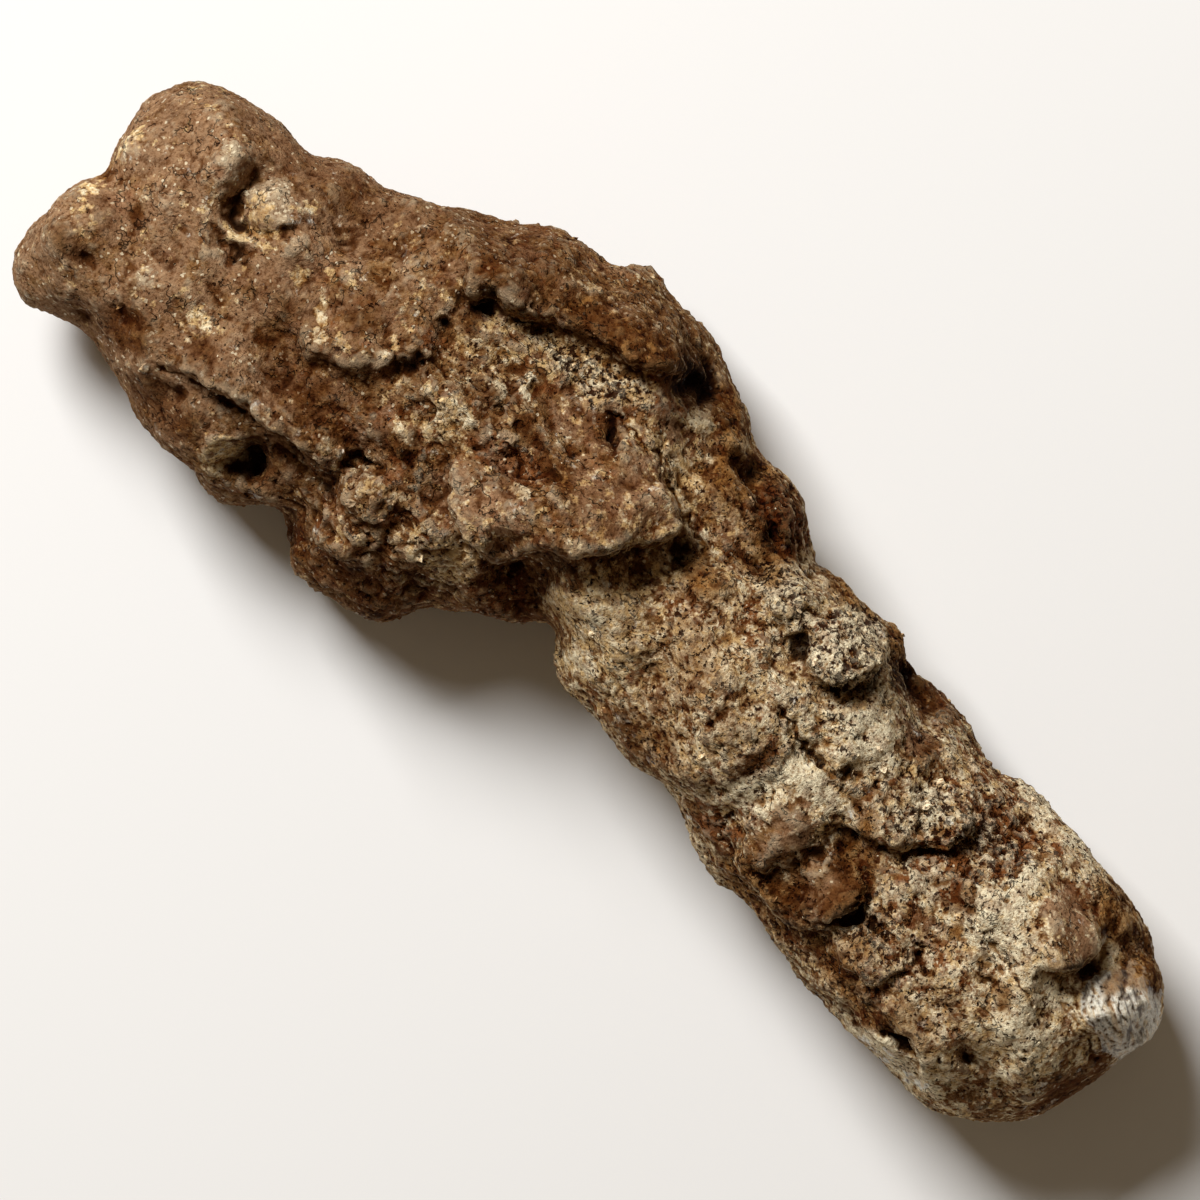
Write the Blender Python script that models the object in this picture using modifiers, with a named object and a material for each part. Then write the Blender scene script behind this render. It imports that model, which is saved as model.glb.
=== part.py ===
"""A fulgurite: soil and sand fused by lightning into one crusted lump, lying on its belly.

It is one solid piece, 111 mm long. +X runs from the broad, two-lobed head to the glassy tip, +Y across it and
+Z up. The origin is on the surface that it lies on, under the middle of its bounding box. Plan places below
are (x, y) in millimetres in that frame, as an eye VIEW_HEIGHT above the lump's middle sees them, and heights
are above that surface.
"""

import math
import random

import bmesh
import bpy
import numpy as np
from mathutils import Vector, noise

MM = 0.001
NODE = "fulgurite"

# The outline from above, clockwise from the outer lobe of the head: over the +Y flank to the tip, and back.
RIM = [
    (-55.4, -11.0), (-54.9, -9.8), (-54.6, -8.2), (-54.7, -6.3), (-53.6, -5.1), (-52.4, -4.1),
    (-53.7, -2.7), (-54.2, -0.8), (-54.1, 0.0), (-54.8, 2.0), (-54.3, 4.0), (-53.5, 5.9),
    (-52.7, 6.7), (-51.5, 7.3), (-50.0, 7.6), (-48.8, 7.6), (-47.2, 7.9), (-45.8, 7.9),
    (-44.2, 7.5), (-41.5, 7.4), (-40.5, 7.7), (-40.1, 8.3), (-39.0, 8.8), (-35.0, 9.5),
    (-33.0, 10.6), (-32.0, 10.8), (-29.0, 13.0), (-27.1, 13.7), (-26.2, 14.6), (-24.8, 15.2),
    (-23.5, 16.1), (-22.3, 16.5), (-20.5, 16.7), (-19.0, 17.1), (-17.0, 17.0), (-16.2, 18.1),
    (-15.4, 18.4), (-13.5, 17.7), (-12.3, 17.9), (-11.0, 17.6), (-9.0, 17.8), (-7.5, 17.4),
    (-6.5, 16.8), (-5.0, 16.4), (-3.0, 15.2), (-2.0, 15.2), (-1.3, 14.8), (-1.0, 13.8),
    (0.8, 13.2), (3.5, 13.3), (5.0, 13.0), (6.5, 12.7), (7.3, 11.7), (8.0, 10.4),
    (9.0, 9.7), (10.2, 9.5), (11.0, 10.0), (12.6, 10.4), (15.0, 9.7), (16.5, 9.6),
    (18.0, 10.1), (19.2, 10.2), (19.8, 8.9), (22.2, 8.5), (23.0, 8.0), (25.3, 8.0),
    (28.0, 7.2), (31.3, 6.4), (33.2, 6.4), (33.5, 7.1), (35.8, 7.6), (38.5, 6.9),
    (40.5, 7.0), (41.7, 6.7), (42.6, 6.0), (45.6, 6.0), (49.0, 5.0), (50.3, 4.3),
    (51.2, 3.2), (52.6, 3.2), (54.5, 1.3), (55.2, 0.3), (55.4, -0.8), (55.3, -2.0),
    (54.3, -4.6), (54.5, -6.0), (53.2, -10.2), (52.6, -12.6), (51.5, -13.4), (50.2, -14.9),
    (49.0, -15.8), (46.5, -16.8), (45.8, -17.4), (43.2, -17.0), (38.0, -16.5), (36.0, -16.4),
    (33.0, -15.8), (31.5, -16.1), (28.0, -15.4), (24.5, -14.6), (23.2, -14.6), (20.9, -15.0),
    (18.0, -14.1), (16.3, -12.9), (14.5, -11.8), (11.5, -11.6), (10.0, -11.9), (7.5, -11.8),
    (5.0, -11.1), (2.5, -11.2), (0.0, -10.1), (-0.9, -9.6), (-1.0, -8.3), (-1.5, -7.8),
    (-2.9, -7.3), (-4.0, -7.9), (-4.4, -9.2), (-5.2, -10.1), (-7.6, -10.4), (-10.0, -12.3),
    (-11.0, -12.4), (-12.7, -14.6), (-12.9, -15.6), (-13.6, -16.6), (-15.0, -17.3), (-17.0, -17.6),
    (-20.7, -18.2), (-22.0, -17.6), (-22.7, -16.7), (-22.6, -15.6), (-23.1, -14.9), (-24.5, -14.9),
    (-26.0, -15.4), (-28.5, -18.0), (-29.5, -18.4), (-30.5, -18.2), (-32.8, -17.2), (-34.8, -17.7),
    (-38.8, -17.0), (-40.2, -16.1), (-44.0, -15.3), (-46.0, -14.9), (-48.0, -15.0), (-51.2, -16.2),
    (-52.5, -15.8), (-54.5, -14.0), (-54.9, -12.5),
]

# Its depth, as (x, value) pairs along the length, with straight runs between them and rounded corners.
MIDLINE_Y = [(-47, -4), (-30, -3), (-15, 0), (0, 1), (10, -0.8), (20, -3), (30, -4.5), (47, -5.5)]
CROWN_Z = [
    (-49, 19), (-42, 21.5), (-35, 20.5), (-27, 22.5), (-16, 24), (-8, 25), (0, 22), (8, 22.5),
    (15, 23.5), (22, 21.5), (30, 21), (40, 22.5), (49, 19.5),
]
BELLY_Z = [(-47, 0.1), (-36, 0.9), (-24, 0.8), (-12, 0.1), (2, 2.0), (14, 1.5), (30, 1.1), (44, 0)]
LEFT_RIM_Z = [(-55, 9), (-42, 12), (-30, 13), (-15, 10), (0, 8), (12, 11), (22, 8), (35, 12), (55, 9)]
RIGHT_RIM_Z = [(-55, 9), (-42, 8), (-30, 6), (-20, 5.5), (-8, 7), (5, 12), (20, 8), (35, 9.5), (55, 9)]
CORNER_ROUNDING = 4.0
RIM_COUNT = 440
RING_COUNT = 14
ROUNDING_PASSES = 3  # how much more each ring rounds off the outline's bumps than the one below it
FLANK_TO_CROWN = (0.05, 0.4)  # the upward part of the normal where the flank ends and where the crown begins
ROUNDNESS = 2.15  # superellipse exponent of a cross-section: 2 is an ellipse, and more is boxier
VIEW_CENTRE = (-1.03, -3.77)
VIEW_MIDDLE_Z = 12
VIEW_HEIGHT = 550

# Swells: (x, y), (half length, half width), turn in degrees, rise, and sharpness: 2 is a soft swell, 1 a
# dome and under 1 a steep-sided knob. A negative rise is a hollow.
SWELLS = {
    "upper lobe of the head": ((-48.5, 2.5), (9, 7), 0, 1.3, 2),
    "lower lobe of the head": ((-50.0, -10.5), (7, 5.5), 0, 1.2, 2),
    "brow knob": ((-46.0, 2.3), (2.4, 3.4), 0, 1.6, 0.8),
    "socket": ((-42.2, 2.0), (3.6, 3.4), 0, -2.2, 1),
    "nodule in the socket": ((-41.6, 2.4), (2.5, 2.3), 20, 2.6, 0.6),
    "pit under the rib": ((-41.8, -2.1), (2.8, 0.7), 0, -1.1, 1),
    "thumb pit": ((-50.0, -10.1), (1.3, 0.9), 0, -1.6, 1),
    "dimple on the head": ((-44.6, -11.6), (2.4, 1.0), 5, -1.2, 1.5),
    "dimple by the edge": ((-47.2, -13.6), (1.8, 0.9), 10, -1.0, 1.5),
    "slot by the edge": ((-37.7, -13.7), (1.7, 0.8), 5, -1.4, 1),
    "raised lobe": ((-29.5, 1.0), (7, 6.5), 0, 1.1, 2),
    "massif": ((-16.5, 13.8), (11, 4.5), 6, 2.2, 1.5),
    "shoulder of the massif": ((-24.5, 11.0), (4.5, 3.6), 20, 1.2, 1.2),
    "crest of the massif": ((-11.0, 14.6), (4.4, 3.0), 0, 1.2, 1),
    "notch in the massif": ((-23.8, 8.2), (1.4, 1.8), 0, -3.0, 0.9),
    "hole by the notch": ((-25.0, 4.5), (0.9, 0.7), 0, -1.8, 1),
    "cave at the massif's end": ((-6.4, 14.6), (2.0, 2.3), -20, -5.0, 0.9),
    "roof plate": ((-8.0, 0.8), (10, 7), 25, 2.0, 1.6),
    "lap of the roof": ((-11.8, -3.6), (4, 3), 0, 1.0, 1.5),
    "hollow in the roof": ((-12.0, 0.7), (3.0, 2.0), 10, -2.0, 1.2),
    "pit in the roof": ((-10.0, 1.3), (1.1, 0.9), 0, -1.6, 1),
    "slot in the roof": ((-8.6, 6.0), (0.7, 1.5), 25, -2.0, 0.9),
    "dark fan under the roof": ((1.3, 3.3), (1.9, 1.4), 0, -1.8, 1.2),
    "cave by the fringe": ((-29.8, -13.7), (1.7, 2.4), 0, -4.0, 0.9),
    "fringe hollow": ((-6.8, -6.2), (4.4, 3.4), 0, -4.0, 1.2),
    "fringe below the strata": ((-25.5, -13.5), (5.5, 3.2), 0, -2.0, 1.5),
    "fringe under the chin": ((-12.4, -11.5), (3.4, 2.6), 30, -2.4, 1.2),
    "knob on the fringe": ((-20.7, -9.5), (2.7, 2.4), 0, 2.0, 0.7),
    "chin lobe": ((-19.8, -13.2), (3.2, 2.0), 8, 1.8, 1),
    "bead on the rim": ((-1.8, 14.4), (1.0, 1.0), 0, 1.2, 0.6),
    "white bead": ((-0.9, 12.9), (1.2, 1.1), 0, 1.8, 0.6),
    "shoulder": ((5.2, 11.4), (3.2, 2.4), 0, 1.4, 1),
    "pit in the shoulder": ((6.0, 9.0), (1.1, 1.0), 0, -1.8, 1),
    "pale knuckle": ((9.8, 6.8), (3.2, 2.4), -10, 1.6, 1),
    "white knuckle": ((16.5, 6.7), (2.8, 3.4), 10, 1.9, 0.7),
    "tip of the knuckle": ((16.2, 4.0), (1.7, 1.4), 35, 1.0, 0.8),
    "cave by the knuckle": ((13.4, 3.8), (1.4, 1.1), -15, -2.2, 1),
    "recess behind the knuckle": ((21.7, 7.5), (2.9, 1.9), -12, -4.2, 0.8),
    "brown lump": ((22.2, -8.5), (3.4, 3.7), 0, 2.0, 0.8),
    "second lump": ((27.7, -8.9), (2.8, 3.0), 10, 1.8, 0.8),
    "lip of the second lump": ((27.2, -11.9), (2.6, 1.2), 15, 1.5, 0.9),
    "gap between the lumps": ((25.3, -8.0), (0.8, 1.6), 0, -1.0, 1),
    "notch by the lump": ((18.6, -9.8), (1.5, 0.8), -10, -1.3, 1),
    "brown basin": ((36.2, 2.0), (3.9, 3.6), 0, -1.0, 1.5),
    "tail dome": ((42.0, -1.5), (6.0, 4.5), 0, 1.0, 2),
    "shade under the lobe": ((48.0, -0.7), (1.5, 2.0), 0, -1.6, 1),
    "nick in the tail": ((32.9, -9.2), (1.7, 0.7), 10, -1.5, 1),
    "second nick": ((36.9, -8.7), (0.8, 1.5), 0, -1.3, 1),
    "third nick": ((41.6, -10.1), (1.2, 0.6), 0, -1.3, 1),
    "bite in the tail": ((45.3, -12.0), (1.9, 0.9), 15, -1.9, 1),
    "tail lobe": ((49.5, -9.5), (4.5, 5.0), 0, 0.9, 2),
    "glass shoulder": ((51.8, -1.2), (4.4, 4.0), -20, 2.4, 0.6),
}

# Ledges: a path with the high side on its left, rise at the edge, reach of the raised side, depth of the
# groove at its foot, and lip, which is how far the edge leans out over the groove.
LEDGES = {
    "massif edge": (
        [(-26.2, 7.6), (-24.0, 8.0), (-22.0, 9.0), (-19.5, 10.1), (-16.5, 11.2), (-13.0, 12.2),
         (-10.0, 12.9), (-8.4, 13.6), (-7.6, 15.2)], 2.8, 7.0, 1.4, 0.6),
    "lobe step": (
        [(-34.0, -2.9), (-31.0, -3.9), (-28.5, -3.2), (-26.4, -1.5), (-25.0, 0.2), (-24.2, 1.8), (-24.2, 3.6)],
        1.2, 5.5, 0.7, 0.3),
    "roof edge": (
        [(-17.6, -2.4), (-15.6, -4.8), (-14.5, -6.0), (-12.0, -7.0), (-9.6, -6.9), (-8.4, -5.0),
         (-7.3, -3.2), (-5.2, -2.5), (-3.6, -0.9), (-2.6, 1.0), (-0.8, 2.9), (0.1, 4.3),
         (-1.0, 5.5), (-4.0, 6.9)], 2.8, 6.0, 1.2, 0.9),
    "strata edge": (
        [(-41.0, -12.0), (-38.0, -11.6), (-35.0, -11.1), (-32.5, -10.5), (-30.4, -10.7),
         (-27.5, -10.2), (-24.8, -9.9), (-23.0, -9.4)], 2.0, 5.0, 1.4, 0.6),
    "chin ledge": (
        [(-22.9, -12.6), (-22.2, -14.4), (-20.0, -15.2), (-17.4, -14.7), (-16.2, -13.2)],
        1.6, 3.0, 0.9, 0.4),
    "fringe line": ([(-18.6, -9.2), (-15.0, -8.9), (-12.5, -9.3)], 0.8, 2.5, 0.5, 0.2),
    "neck flank": ([(-4.0, -3.4), (-4.9, -5.6), (-3.0, -7.2)], 1.8, 3.5, 0.8, 0.4),
    "neck crest": ([(7.0, 7.8), (4.0, 9.2), (2.4, 10.1), (0.2, 10.6), (-1.2, 11.6)], 1.4, 3.5, 0.9, 0.4),
    "knuckle edge": (
        [(6.8, 5.6), (9.0, 4.6), (11.6, 4.9), (13.6, 3.2), (16.0, 2.8), (18.2, 3.6), (19.6, 5.6),
         (19.8, 7.8)], 1.8, 4.5, 1.2, 0.6),
    "neck plate end": ([(15.2, -7.6), (16.6, -5.4), (17.6, -3.6), (18.2, -2.1)], 1.1, 3.5, 0.5, 0.2),
    "neck plate foot": ([(12.5, -11.0), (15.0, -10.7), (18.2, -10.6)], 0.9, 2.5, 0.5, 0.2),
    "lump edge": (
        [(19.5, -11.4), (21.3, -12.5), (24.0, -13.1), (26.5, -13.2), (29.0, -12.8), (30.3, -11.0),
         (30.4, -9.0), (29.6, -7.2)], 2.2, 3.5, 1.3, 0.7),
    "shelf edge": (
        [(25.0, -4.8), (28.5, -3.6), (30.5, -2.6), (32.0, -1.4), (33.1, -0.2), (33.5, 1.6), (33.9, 3.0)],
        1.6, 4.5, 0.9, 0.4),
    "tail lobe edge": (
        [(44.8, -3.0), (46.4, -1.8), (47.2, 0.0), (47.2, 1.6), (46.5, 3.6)], 2.2, 4.5, 1.4, 0.6),
    "tail strip": ([(33.5, -13.6), (38.0, -13.9), (42.5, -14.7), (45.2, -16.2)], 1.0, 3.0, 0.8, 0.3),
    "tail seam": ([(30.5, -12.9), (33.5, -13.3), (36.0, -12.5), (37.8, -10.6)], 1.0, 3.0, 0.7, 0.2),
}

# Grooves: a path, half width and depth. A negative depth is a rib.
GROOVES = {
    "cleft of the head": ([(-55.0, -4.2), (-52.0, -4.3), (-47.5, -5.0)], 1.6, 1.2),
    "gap behind the brow": ([(-43.6, 4.6), (-43.8, 2.6), (-44.0, 1.0), (-44.3, -0.4)], 0.5, 1.0),
    "gap under the nodule": (
        [(-45.0, -0.2), (-43.6, -0.3), (-42.2, 0.0), (-41.0, 0.8), (-40.0, 1.4), (-39.0, 2.6)], 0.5, 1.4),
    "rib under the socket": (
        [(-46.5, -1.4), (-44.6, -1.5), (-43.0, -1.1), (-41.0, -0.5), (-39.0, -0.6)], 0.6, -1.0),
    "gap under the strata": ([(-29.4, -12.0), (-26.6, -11.3), (-24.0, -11.3), (-22.2, -11.3)], 0.8, 2.2),
    "hollow under the second lump": ([(24.2, -10.6), (26.4, -10.9), (28.4, -10.4)], 0.6, 1.2),
    "gap round the knob": ([(-23.2, -10.4), (-23.4, -8.6), (-21.8, -7.5), (-19.8, -6.9)], 0.6, 1.2),
    "channel by the bead": ([(0.6, 13.2), (1.2, 11.6), (2.8, 10.9)], 1.2, 2.2),
    "shade under the knuckle": ([(16.0, 2.3), (18.0, 3.1), (19.4, 4.4), (20.1, 6.2)], 1.0, 2.6),
    "neck crack": (
        [(1.0, 1.5), (4.0, 1.3), (6.5, 1.3), (8.0, 0.1), (10.5, -0.2), (14.0, -1.0), (17.0, -1.7),
         (20.0, -2.7), (23.5, -2.5)], 0.5, 0.7),
    "glass rim crack": ([(49.6, 2.2), (50.6, 0.9), (52.2, 1.1), (54.0, 1.9)], 0.6, 1.2),
    "crack in the tail": ([(42.3, -6.8), (44.0, -7.2), (46.6, -6.9)], 0.4, 0.6),
    "slit in the tail strip": ([(38.2, -14.5), (40.0, -14.7), (42.2, -15.2)], 0.6, 1.6),
    "seam over the tail": ([(39.5, -3.9), (43.0, -3.6), (46.0, -4.4), (50.0, -5.2)], 0.5, 0.5),
}
EDGE_WIDTH = 0.55  # half of the slope at a ledge's edge
LIP_WIDTH = 1.4  # how far on each side of a ledge's edge its lip pulls the surface along
FOOT_WIDTH = 2.4  # how far the groove at a ledge's foot reaches out
END_FADE = 1.8  # length over which a ledge or a groove comes up from nothing at each end

# Flutes of the bare glass at the tip: parallel grooves in an oval patch.
FLUTE_PATCH = ((51.6, -1.8), (4.6, 4.2))
FLUTE_TURN = -37
FLUTE_SPACING = 1.5
FLUTE_DEPTH = 0.4
FLUTE_WAVER = 0.5

# Natural unevenness all over as (wavelength, height), a share of it at the rim, and how far it bends the
# features above out of their plain ovals and paths, as (wavelength, reach).
UNEVENNESS = [(14.0, 2.4), (7.0, 1.9), (3.6, 1.3), (2.0, 0.6)]
SHARE_AT_RIM = 0.12
BEND = [(5.0, 1.3), (2.2, 0.7)]
TERRACE_HEIGHT = 1.2  # broken layers on the flanks
TERRACE_WAVELENGTH = 9.0
TERRACES = 5
TERRACE_SEED = 11
BEND_SEED = 20

# Knobs and pits that follow no plan, as (count, smallest and largest radius, most rise for the radius).
FLANK_KNOBS = (190, 1.6, 4.4, 0.5)
CROWN_KNOBS = (150, 0.9, 2.4, 0.36)
SEED = 21

COARSE_VOXEL = 0.7
FINE_VOXEL = 0.5
SHRINKAGE = 0.2  # what smoothing after each remesh takes off in all, and is put back
TRIANGLES = 9800
FLAT_BELOW = 0.25  # what is lower than this is worn flat on the surface that it lies on


def clear_scene():
    for obj in list(bpy.data.objects):
        bpy.data.objects.remove(obj, do_unlink=True)


def smooth_step(low, high, value):
    t = np.clip((value - low) / (high - low), 0, 1)
    return t * t * (3 - 2 * t)


def along(pairs, x):
    """The value at x of a quantity given as (x, value) pairs, with its corners rounded."""
    xs, values = np.array(pairs, float).T
    offsets = np.linspace(-CORNER_ROUNDING, CORNER_ROUNDING, 9)
    return np.mean([np.interp(x + o, xs, values) for o in offsets], axis=0)


def rim_loop():
    """The outline as RIM_COUNT evenly spaced points on a closed curve through RIM."""
    points = np.array(RIM, float)
    before, after, after_next = (np.roll(points, shift, axis=0) for shift in (1, -1, -2))
    runs = []
    for t in np.linspace(0, 1, 8, endpoint=False):
        runs.append(
            0.5 * (2 * points + (after - before) * t
                   + (2 * before - 5 * points + 4 * after - after_next) * t ** 2
                   + (3 * points - before - 3 * after + after_next) * t ** 3)
        )
    fine = np.stack(runs, axis=1).reshape(-1, 2)
    closed = np.vstack([fine, fine[:1]])
    travelled = np.concatenate([[0], np.cumsum(np.linalg.norm(np.diff(closed, axis=0), axis=1))])
    stops = np.linspace(0, travelled[-1], RIM_COUNT, endpoint=False)
    return np.stack([np.interp(stops, travelled, closed[:, axis]) for axis in (0, 1)], axis=1)


def rings():
    """Rings of points from the belly up over the rim to the crown, each as RIM_COUNT (x, y, z)."""
    rim = rim_loop()
    ends = MIDLINE_Y[0][0], MIDLINE_Y[-1][0]
    mid_x = np.clip(rim[:, 0], *ends)
    middle = np.stack([mid_x, along(MIDLINE_Y, mid_x)], axis=1)
    side = smooth_step(-4, 4, rim[:, 1] - middle[:, 1])
    rim_z = side * along(LEFT_RIM_Z, rim[:, 0]) + (1 - side) * along(RIGHT_RIM_Z, rim[:, 0])
    halves = []
    for pole_z in (along(BELLY_Z, mid_x), along(CROWN_Z, mid_x)):
        outline = rim.copy()
        half = []
        for step in range(RING_COUNT):
            angle = math.radians(90) * step / (RING_COUNT - 0.5)
            inward = math.cos(angle) ** (2 / ROUNDNESS)
            rise = math.sin(angle) ** (2 / ROUNDNESS)
            flat = middle + (outline - middle) * inward
            half.append(np.column_stack([flat, rim_z + (pole_z - rim_z) * rise]))
            for _ in range(ROUNDING_PASSES * step):
                outline = (np.roll(outline, 1, axis=0) + 2 * outline + np.roll(outline, -1, axis=0)) / 4
        halves.append(half)
    belly, crown = halves
    return belly[:0:-1] + crown


def body_mesh():
    """The bare body, without its relief, lofted through the rings."""
    bm = bmesh.new()
    loops = [[bm.verts.new(point * MM) for point in ring] for ring in rings()]
    for lower, upper in zip(loops, loops[1:]):
        for i in range(RIM_COUNT):
            j = (i + 1) % RIM_COUNT
            bm.faces.new((lower[i], lower[j], upper[j], upper[i]))
    bm.faces.new(loops[0][::-1])
    bm.faces.new(loops[-1])
    bmesh.ops.triangulate(bm, faces=[f for f in bm.faces if len(f.verts) > 4])
    bmesh.ops.recalc_face_normals(bm, faces=bm.faces)
    mesh = bpy.data.meshes.new(NODE)
    bm.to_mesh(mesh)
    bm.free()
    return mesh


def evaluated(obj):
    """Replaces an object's mesh by what its modifiers make of it, and removes them."""
    graph = bpy.context.evaluated_depsgraph_get()
    mesh = bpy.data.meshes.new_from_object(obj.evaluated_get(graph))
    obj.modifiers.clear()
    obj.data = mesh


def remesh(obj, voxel, smoothing):
    modifier = obj.modifiers.new("Remesh", "REMESH")
    modifier.mode = "VOXEL"
    modifier.voxel_size = voxel * MM
    relax = obj.modifiers.new("Smooth", "SMOOTH")
    relax.factor = 0.5
    relax.iterations = smoothing
    evaluated(obj)


def coordinates(mesh):
    """(points, normals) of a mesh, in millimetres."""
    points = np.empty(len(mesh.vertices) * 3, np.float32)
    normals = np.empty(len(mesh.vertices) * 3, np.float32)
    mesh.vertices.foreach_get("co", points)
    mesh.vertex_normals.foreach_get("vector", normals)
    return points.reshape(-1, 3).astype(float) / MM, normals.reshape(-1, 3).astype(float)


def set_points(mesh, points):
    mesh.vertices.foreach_set("co", (points * MM).astype(np.float32).ravel())
    mesh.update()


def facing_up(normals):
    """1 on the upper side and 0 on the flanks and the belly."""
    return smooth_step(*FLANK_TO_CROWN, normals[:, 2])


def at_rim(normals):
    """SHARE_AT_RIM where the surface stands upright, as it does at the outline, and 1 where it lies."""
    return SHARE_AT_RIM + (1 - SHARE_AT_RIM) * np.abs(normals[:, 2])


def swell(points, where, size, turn, rise, sharpness):
    """The height of an oval swell at each point."""
    angle = math.radians(turn)
    offset = points[:, :2] - where
    u = (offset[:, 0] * math.cos(angle) + offset[:, 1] * math.sin(angle)) / size[0]
    v = (offset[:, 1] * math.cos(angle) - offset[:, 0] * math.sin(angle)) / size[1]
    return rise * np.clip(1 - u * u - v * v, 0, 1) ** sharpness


def path_distance(points, path):
    """Signed distance to a path, positive on its left, the way to its right, and a fade at its two ends."""
    starts, runs = path[:-1], np.diff(path, axis=0)
    lengths = np.linalg.norm(runs, axis=1)
    offset = points[:, None, :2] - starts
    share = np.clip((offset * runs).sum(2) / lengths ** 2, 0, 1)
    gap = offset - share[..., None] * runs
    nearest = np.linalg.norm(gap, axis=2).argmin(axis=1)
    rows = np.arange(len(points))
    gap, share, run = gap[rows, nearest], share[rows, nearest], runs[nearest]
    distance = np.linalg.norm(gap, axis=1)
    side = np.where(run[:, 0] * gap[:, 1] - run[:, 1] * gap[:, 0] < 0, -1, 1)
    travelled = (np.concatenate([[0], np.cumsum(lengths)[:-1]])[nearest] + share * lengths[nearest])
    to_end = np.minimum(travelled, lengths.sum() - travelled)
    fade = smooth_step(0, END_FADE, to_end)
    towards_low = -side[:, None] * gap / np.maximum(distance, 1e-6)[:, None]
    return side * distance, towards_low, fade


def ledge(points, path, rise, reach, groove, lip):
    """Shift (x, y, z) of each point for a step along a path, with a groove at its foot."""
    distance, towards_low, fade = path_distance(points, path)
    high = smooth_step(-EDGE_WIDTH, EDGE_WIDTH, distance) * np.clip(1 - distance / reach, 0, 1) ** 1.3
    low = smooth_step(EDGE_WIDTH, -EDGE_WIDTH, distance) * np.clip(1 + distance / FOOT_WIDTH, 0, 1) ** 1.5
    lean = np.clip(1 - np.abs(distance - EDGE_WIDTH) / LIP_WIDTH, 0, 1) ** 2
    shift = np.zeros_like(points)
    shift[:, 2] = (rise * high - groove * low) * fade
    shift[:, :2] = towards_low * (lip * lean * fade)[:, None]
    return shift


def groove(points, path, half_width, depth):
    """The height of a groove along a path, which is down to a third of its depth at half_width."""
    distance, _, fade = path_distance(points, path)
    return -depth * fade * np.exp(-((distance / half_width) ** 2))


def flutes(points):
    """Height of the parallel grooves in the glass at the tip."""
    where, size = FLUTE_PATCH
    patch = swell(points, where, size, 0, 1, 0.8)
    angle = math.radians(FLUTE_TURN)
    across = points[:, 1] * math.cos(angle) - points[:, 0] * math.sin(angle)
    across += FLUTE_WAVER * np.sin(points[:, 0])
    return -FLUTE_DEPTH * patch * (1 + np.sin(across * 2 * math.pi / FLUTE_SPACING))


def noise_at(points, wavelength, seed):
    offset = Vector((seed * 7.3, seed * 3.1, seed * 5.7))
    return np.array([noise.noise(Vector(p) / wavelength + offset) for p in points])


def unevenness(points, normals):
    """Outward height of the natural unevenness, held back at the rim so that the outline stays."""
    height = sum(size * noise_at(points, length, i) for i, (length, size) in enumerate(UNEVENNESS))
    level = (noise_at(points, TERRACE_WAVELENGTH, TERRACE_SEED) * TERRACES) % 1
    height += TERRACE_HEIGHT * (smooth_step(0.35, 0.65, level) - level) * (1 - facing_up(normals))
    return height * at_rim(normals)


def scattered_knobs(points, share, count, smallest, largest, most_rise):
    """Outward height of knobs and pits that follow no plan, where share is over a half."""
    rng = random.Random(SEED + count)
    eligible = np.nonzero(share > 0.5)[0]
    height = np.zeros(len(points))
    for _ in range(count):
        centre = points[eligible[rng.randrange(len(eligible))]]
        radius = rng.uniform(smallest, largest)
        rise = radius * most_rise * rng.uniform(0.4, 1) * rng.choice((1, 1, -1))
        nearness = 1 - ((points - centre) ** 2).sum(axis=1) / radius ** 2
        height += rise * np.clip(nearness, 0, 1) ** rng.uniform(0.8, 2)
    return height * share


def seen(points):
    """The points where the eye at VIEW_HEIGHT sees them, against the level of the lump's middle."""
    centre = np.array([*VIEW_CENTRE, 0])
    spread = VIEW_HEIGHT / (VIEW_HEIGHT + VIEW_MIDDLE_Z - points[:, 2:])
    return centre + (points - centre) * np.hstack([spread, spread, np.ones_like(spread)])


def bent(points):
    """The points moved about in plan by BEND, so that a shape drawn on them comes out irregular."""
    plan = points * (1, 1, 0)
    moved = points.copy()
    for i, (wavelength, reach) in enumerate(BEND):
        for axis in (0, 1):
            moved[:, axis] += reach * noise_at(plan, wavelength, BEND_SEED + 2 * i + axis)
    return moved


def bent_places(places):
    """Plan places moved as bent() moves the points there, so that a bent shape still passes through them."""
    return bent(np.column_stack([places, np.zeros(len(places))]))[:, :2]


def place_relief(obj):
    """Everything placed by hand on the upper side, from the widest swells to the narrowest grooves."""
    points, normals = coordinates(obj.data)
    plan = bent(seen(points))
    shift = np.zeros_like(points)
    for where, size, turn, rise, sharpness in SWELLS.values():
        shift[:, 2] += swell(plan, bent_places([where])[0], size, turn, rise, sharpness)
    for path, rise, reach, foot, lip in LEDGES.values():
        shift += ledge(plan, bent_places(path), rise, reach, foot, lip)
    for path, half_width, depth in GROOVES.values():
        shift[:, 2] += groove(plan, bent_places(path), half_width, depth)
    shift[:, 2] += flutes(plan)
    set_points(obj.data, points + shift * facing_up(normals)[:, None])


def roughen(obj):
    points, normals = coordinates(obj.data)
    up = facing_up(normals)
    hidden = (1 - up) * at_rim(normals)
    height = SHRINKAGE + unevenness(points, normals)
    height += scattered_knobs(points, up, *CROWN_KNOBS)
    height += scattered_knobs(points, hidden, *FLANK_KNOBS)
    set_points(obj.data, points + normals * height[:, None])


def thin_out(obj):
    """Collapses the mesh to TRIANGLES, which keeps the edges and knobs and widens the plain faces."""
    obj.data.calc_loop_triangles()
    modifier = obj.modifiers.new("Decimate", "DECIMATE")
    modifier.ratio = TRIANGLES / len(obj.data.loop_triangles)
    evaluated(obj)


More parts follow.
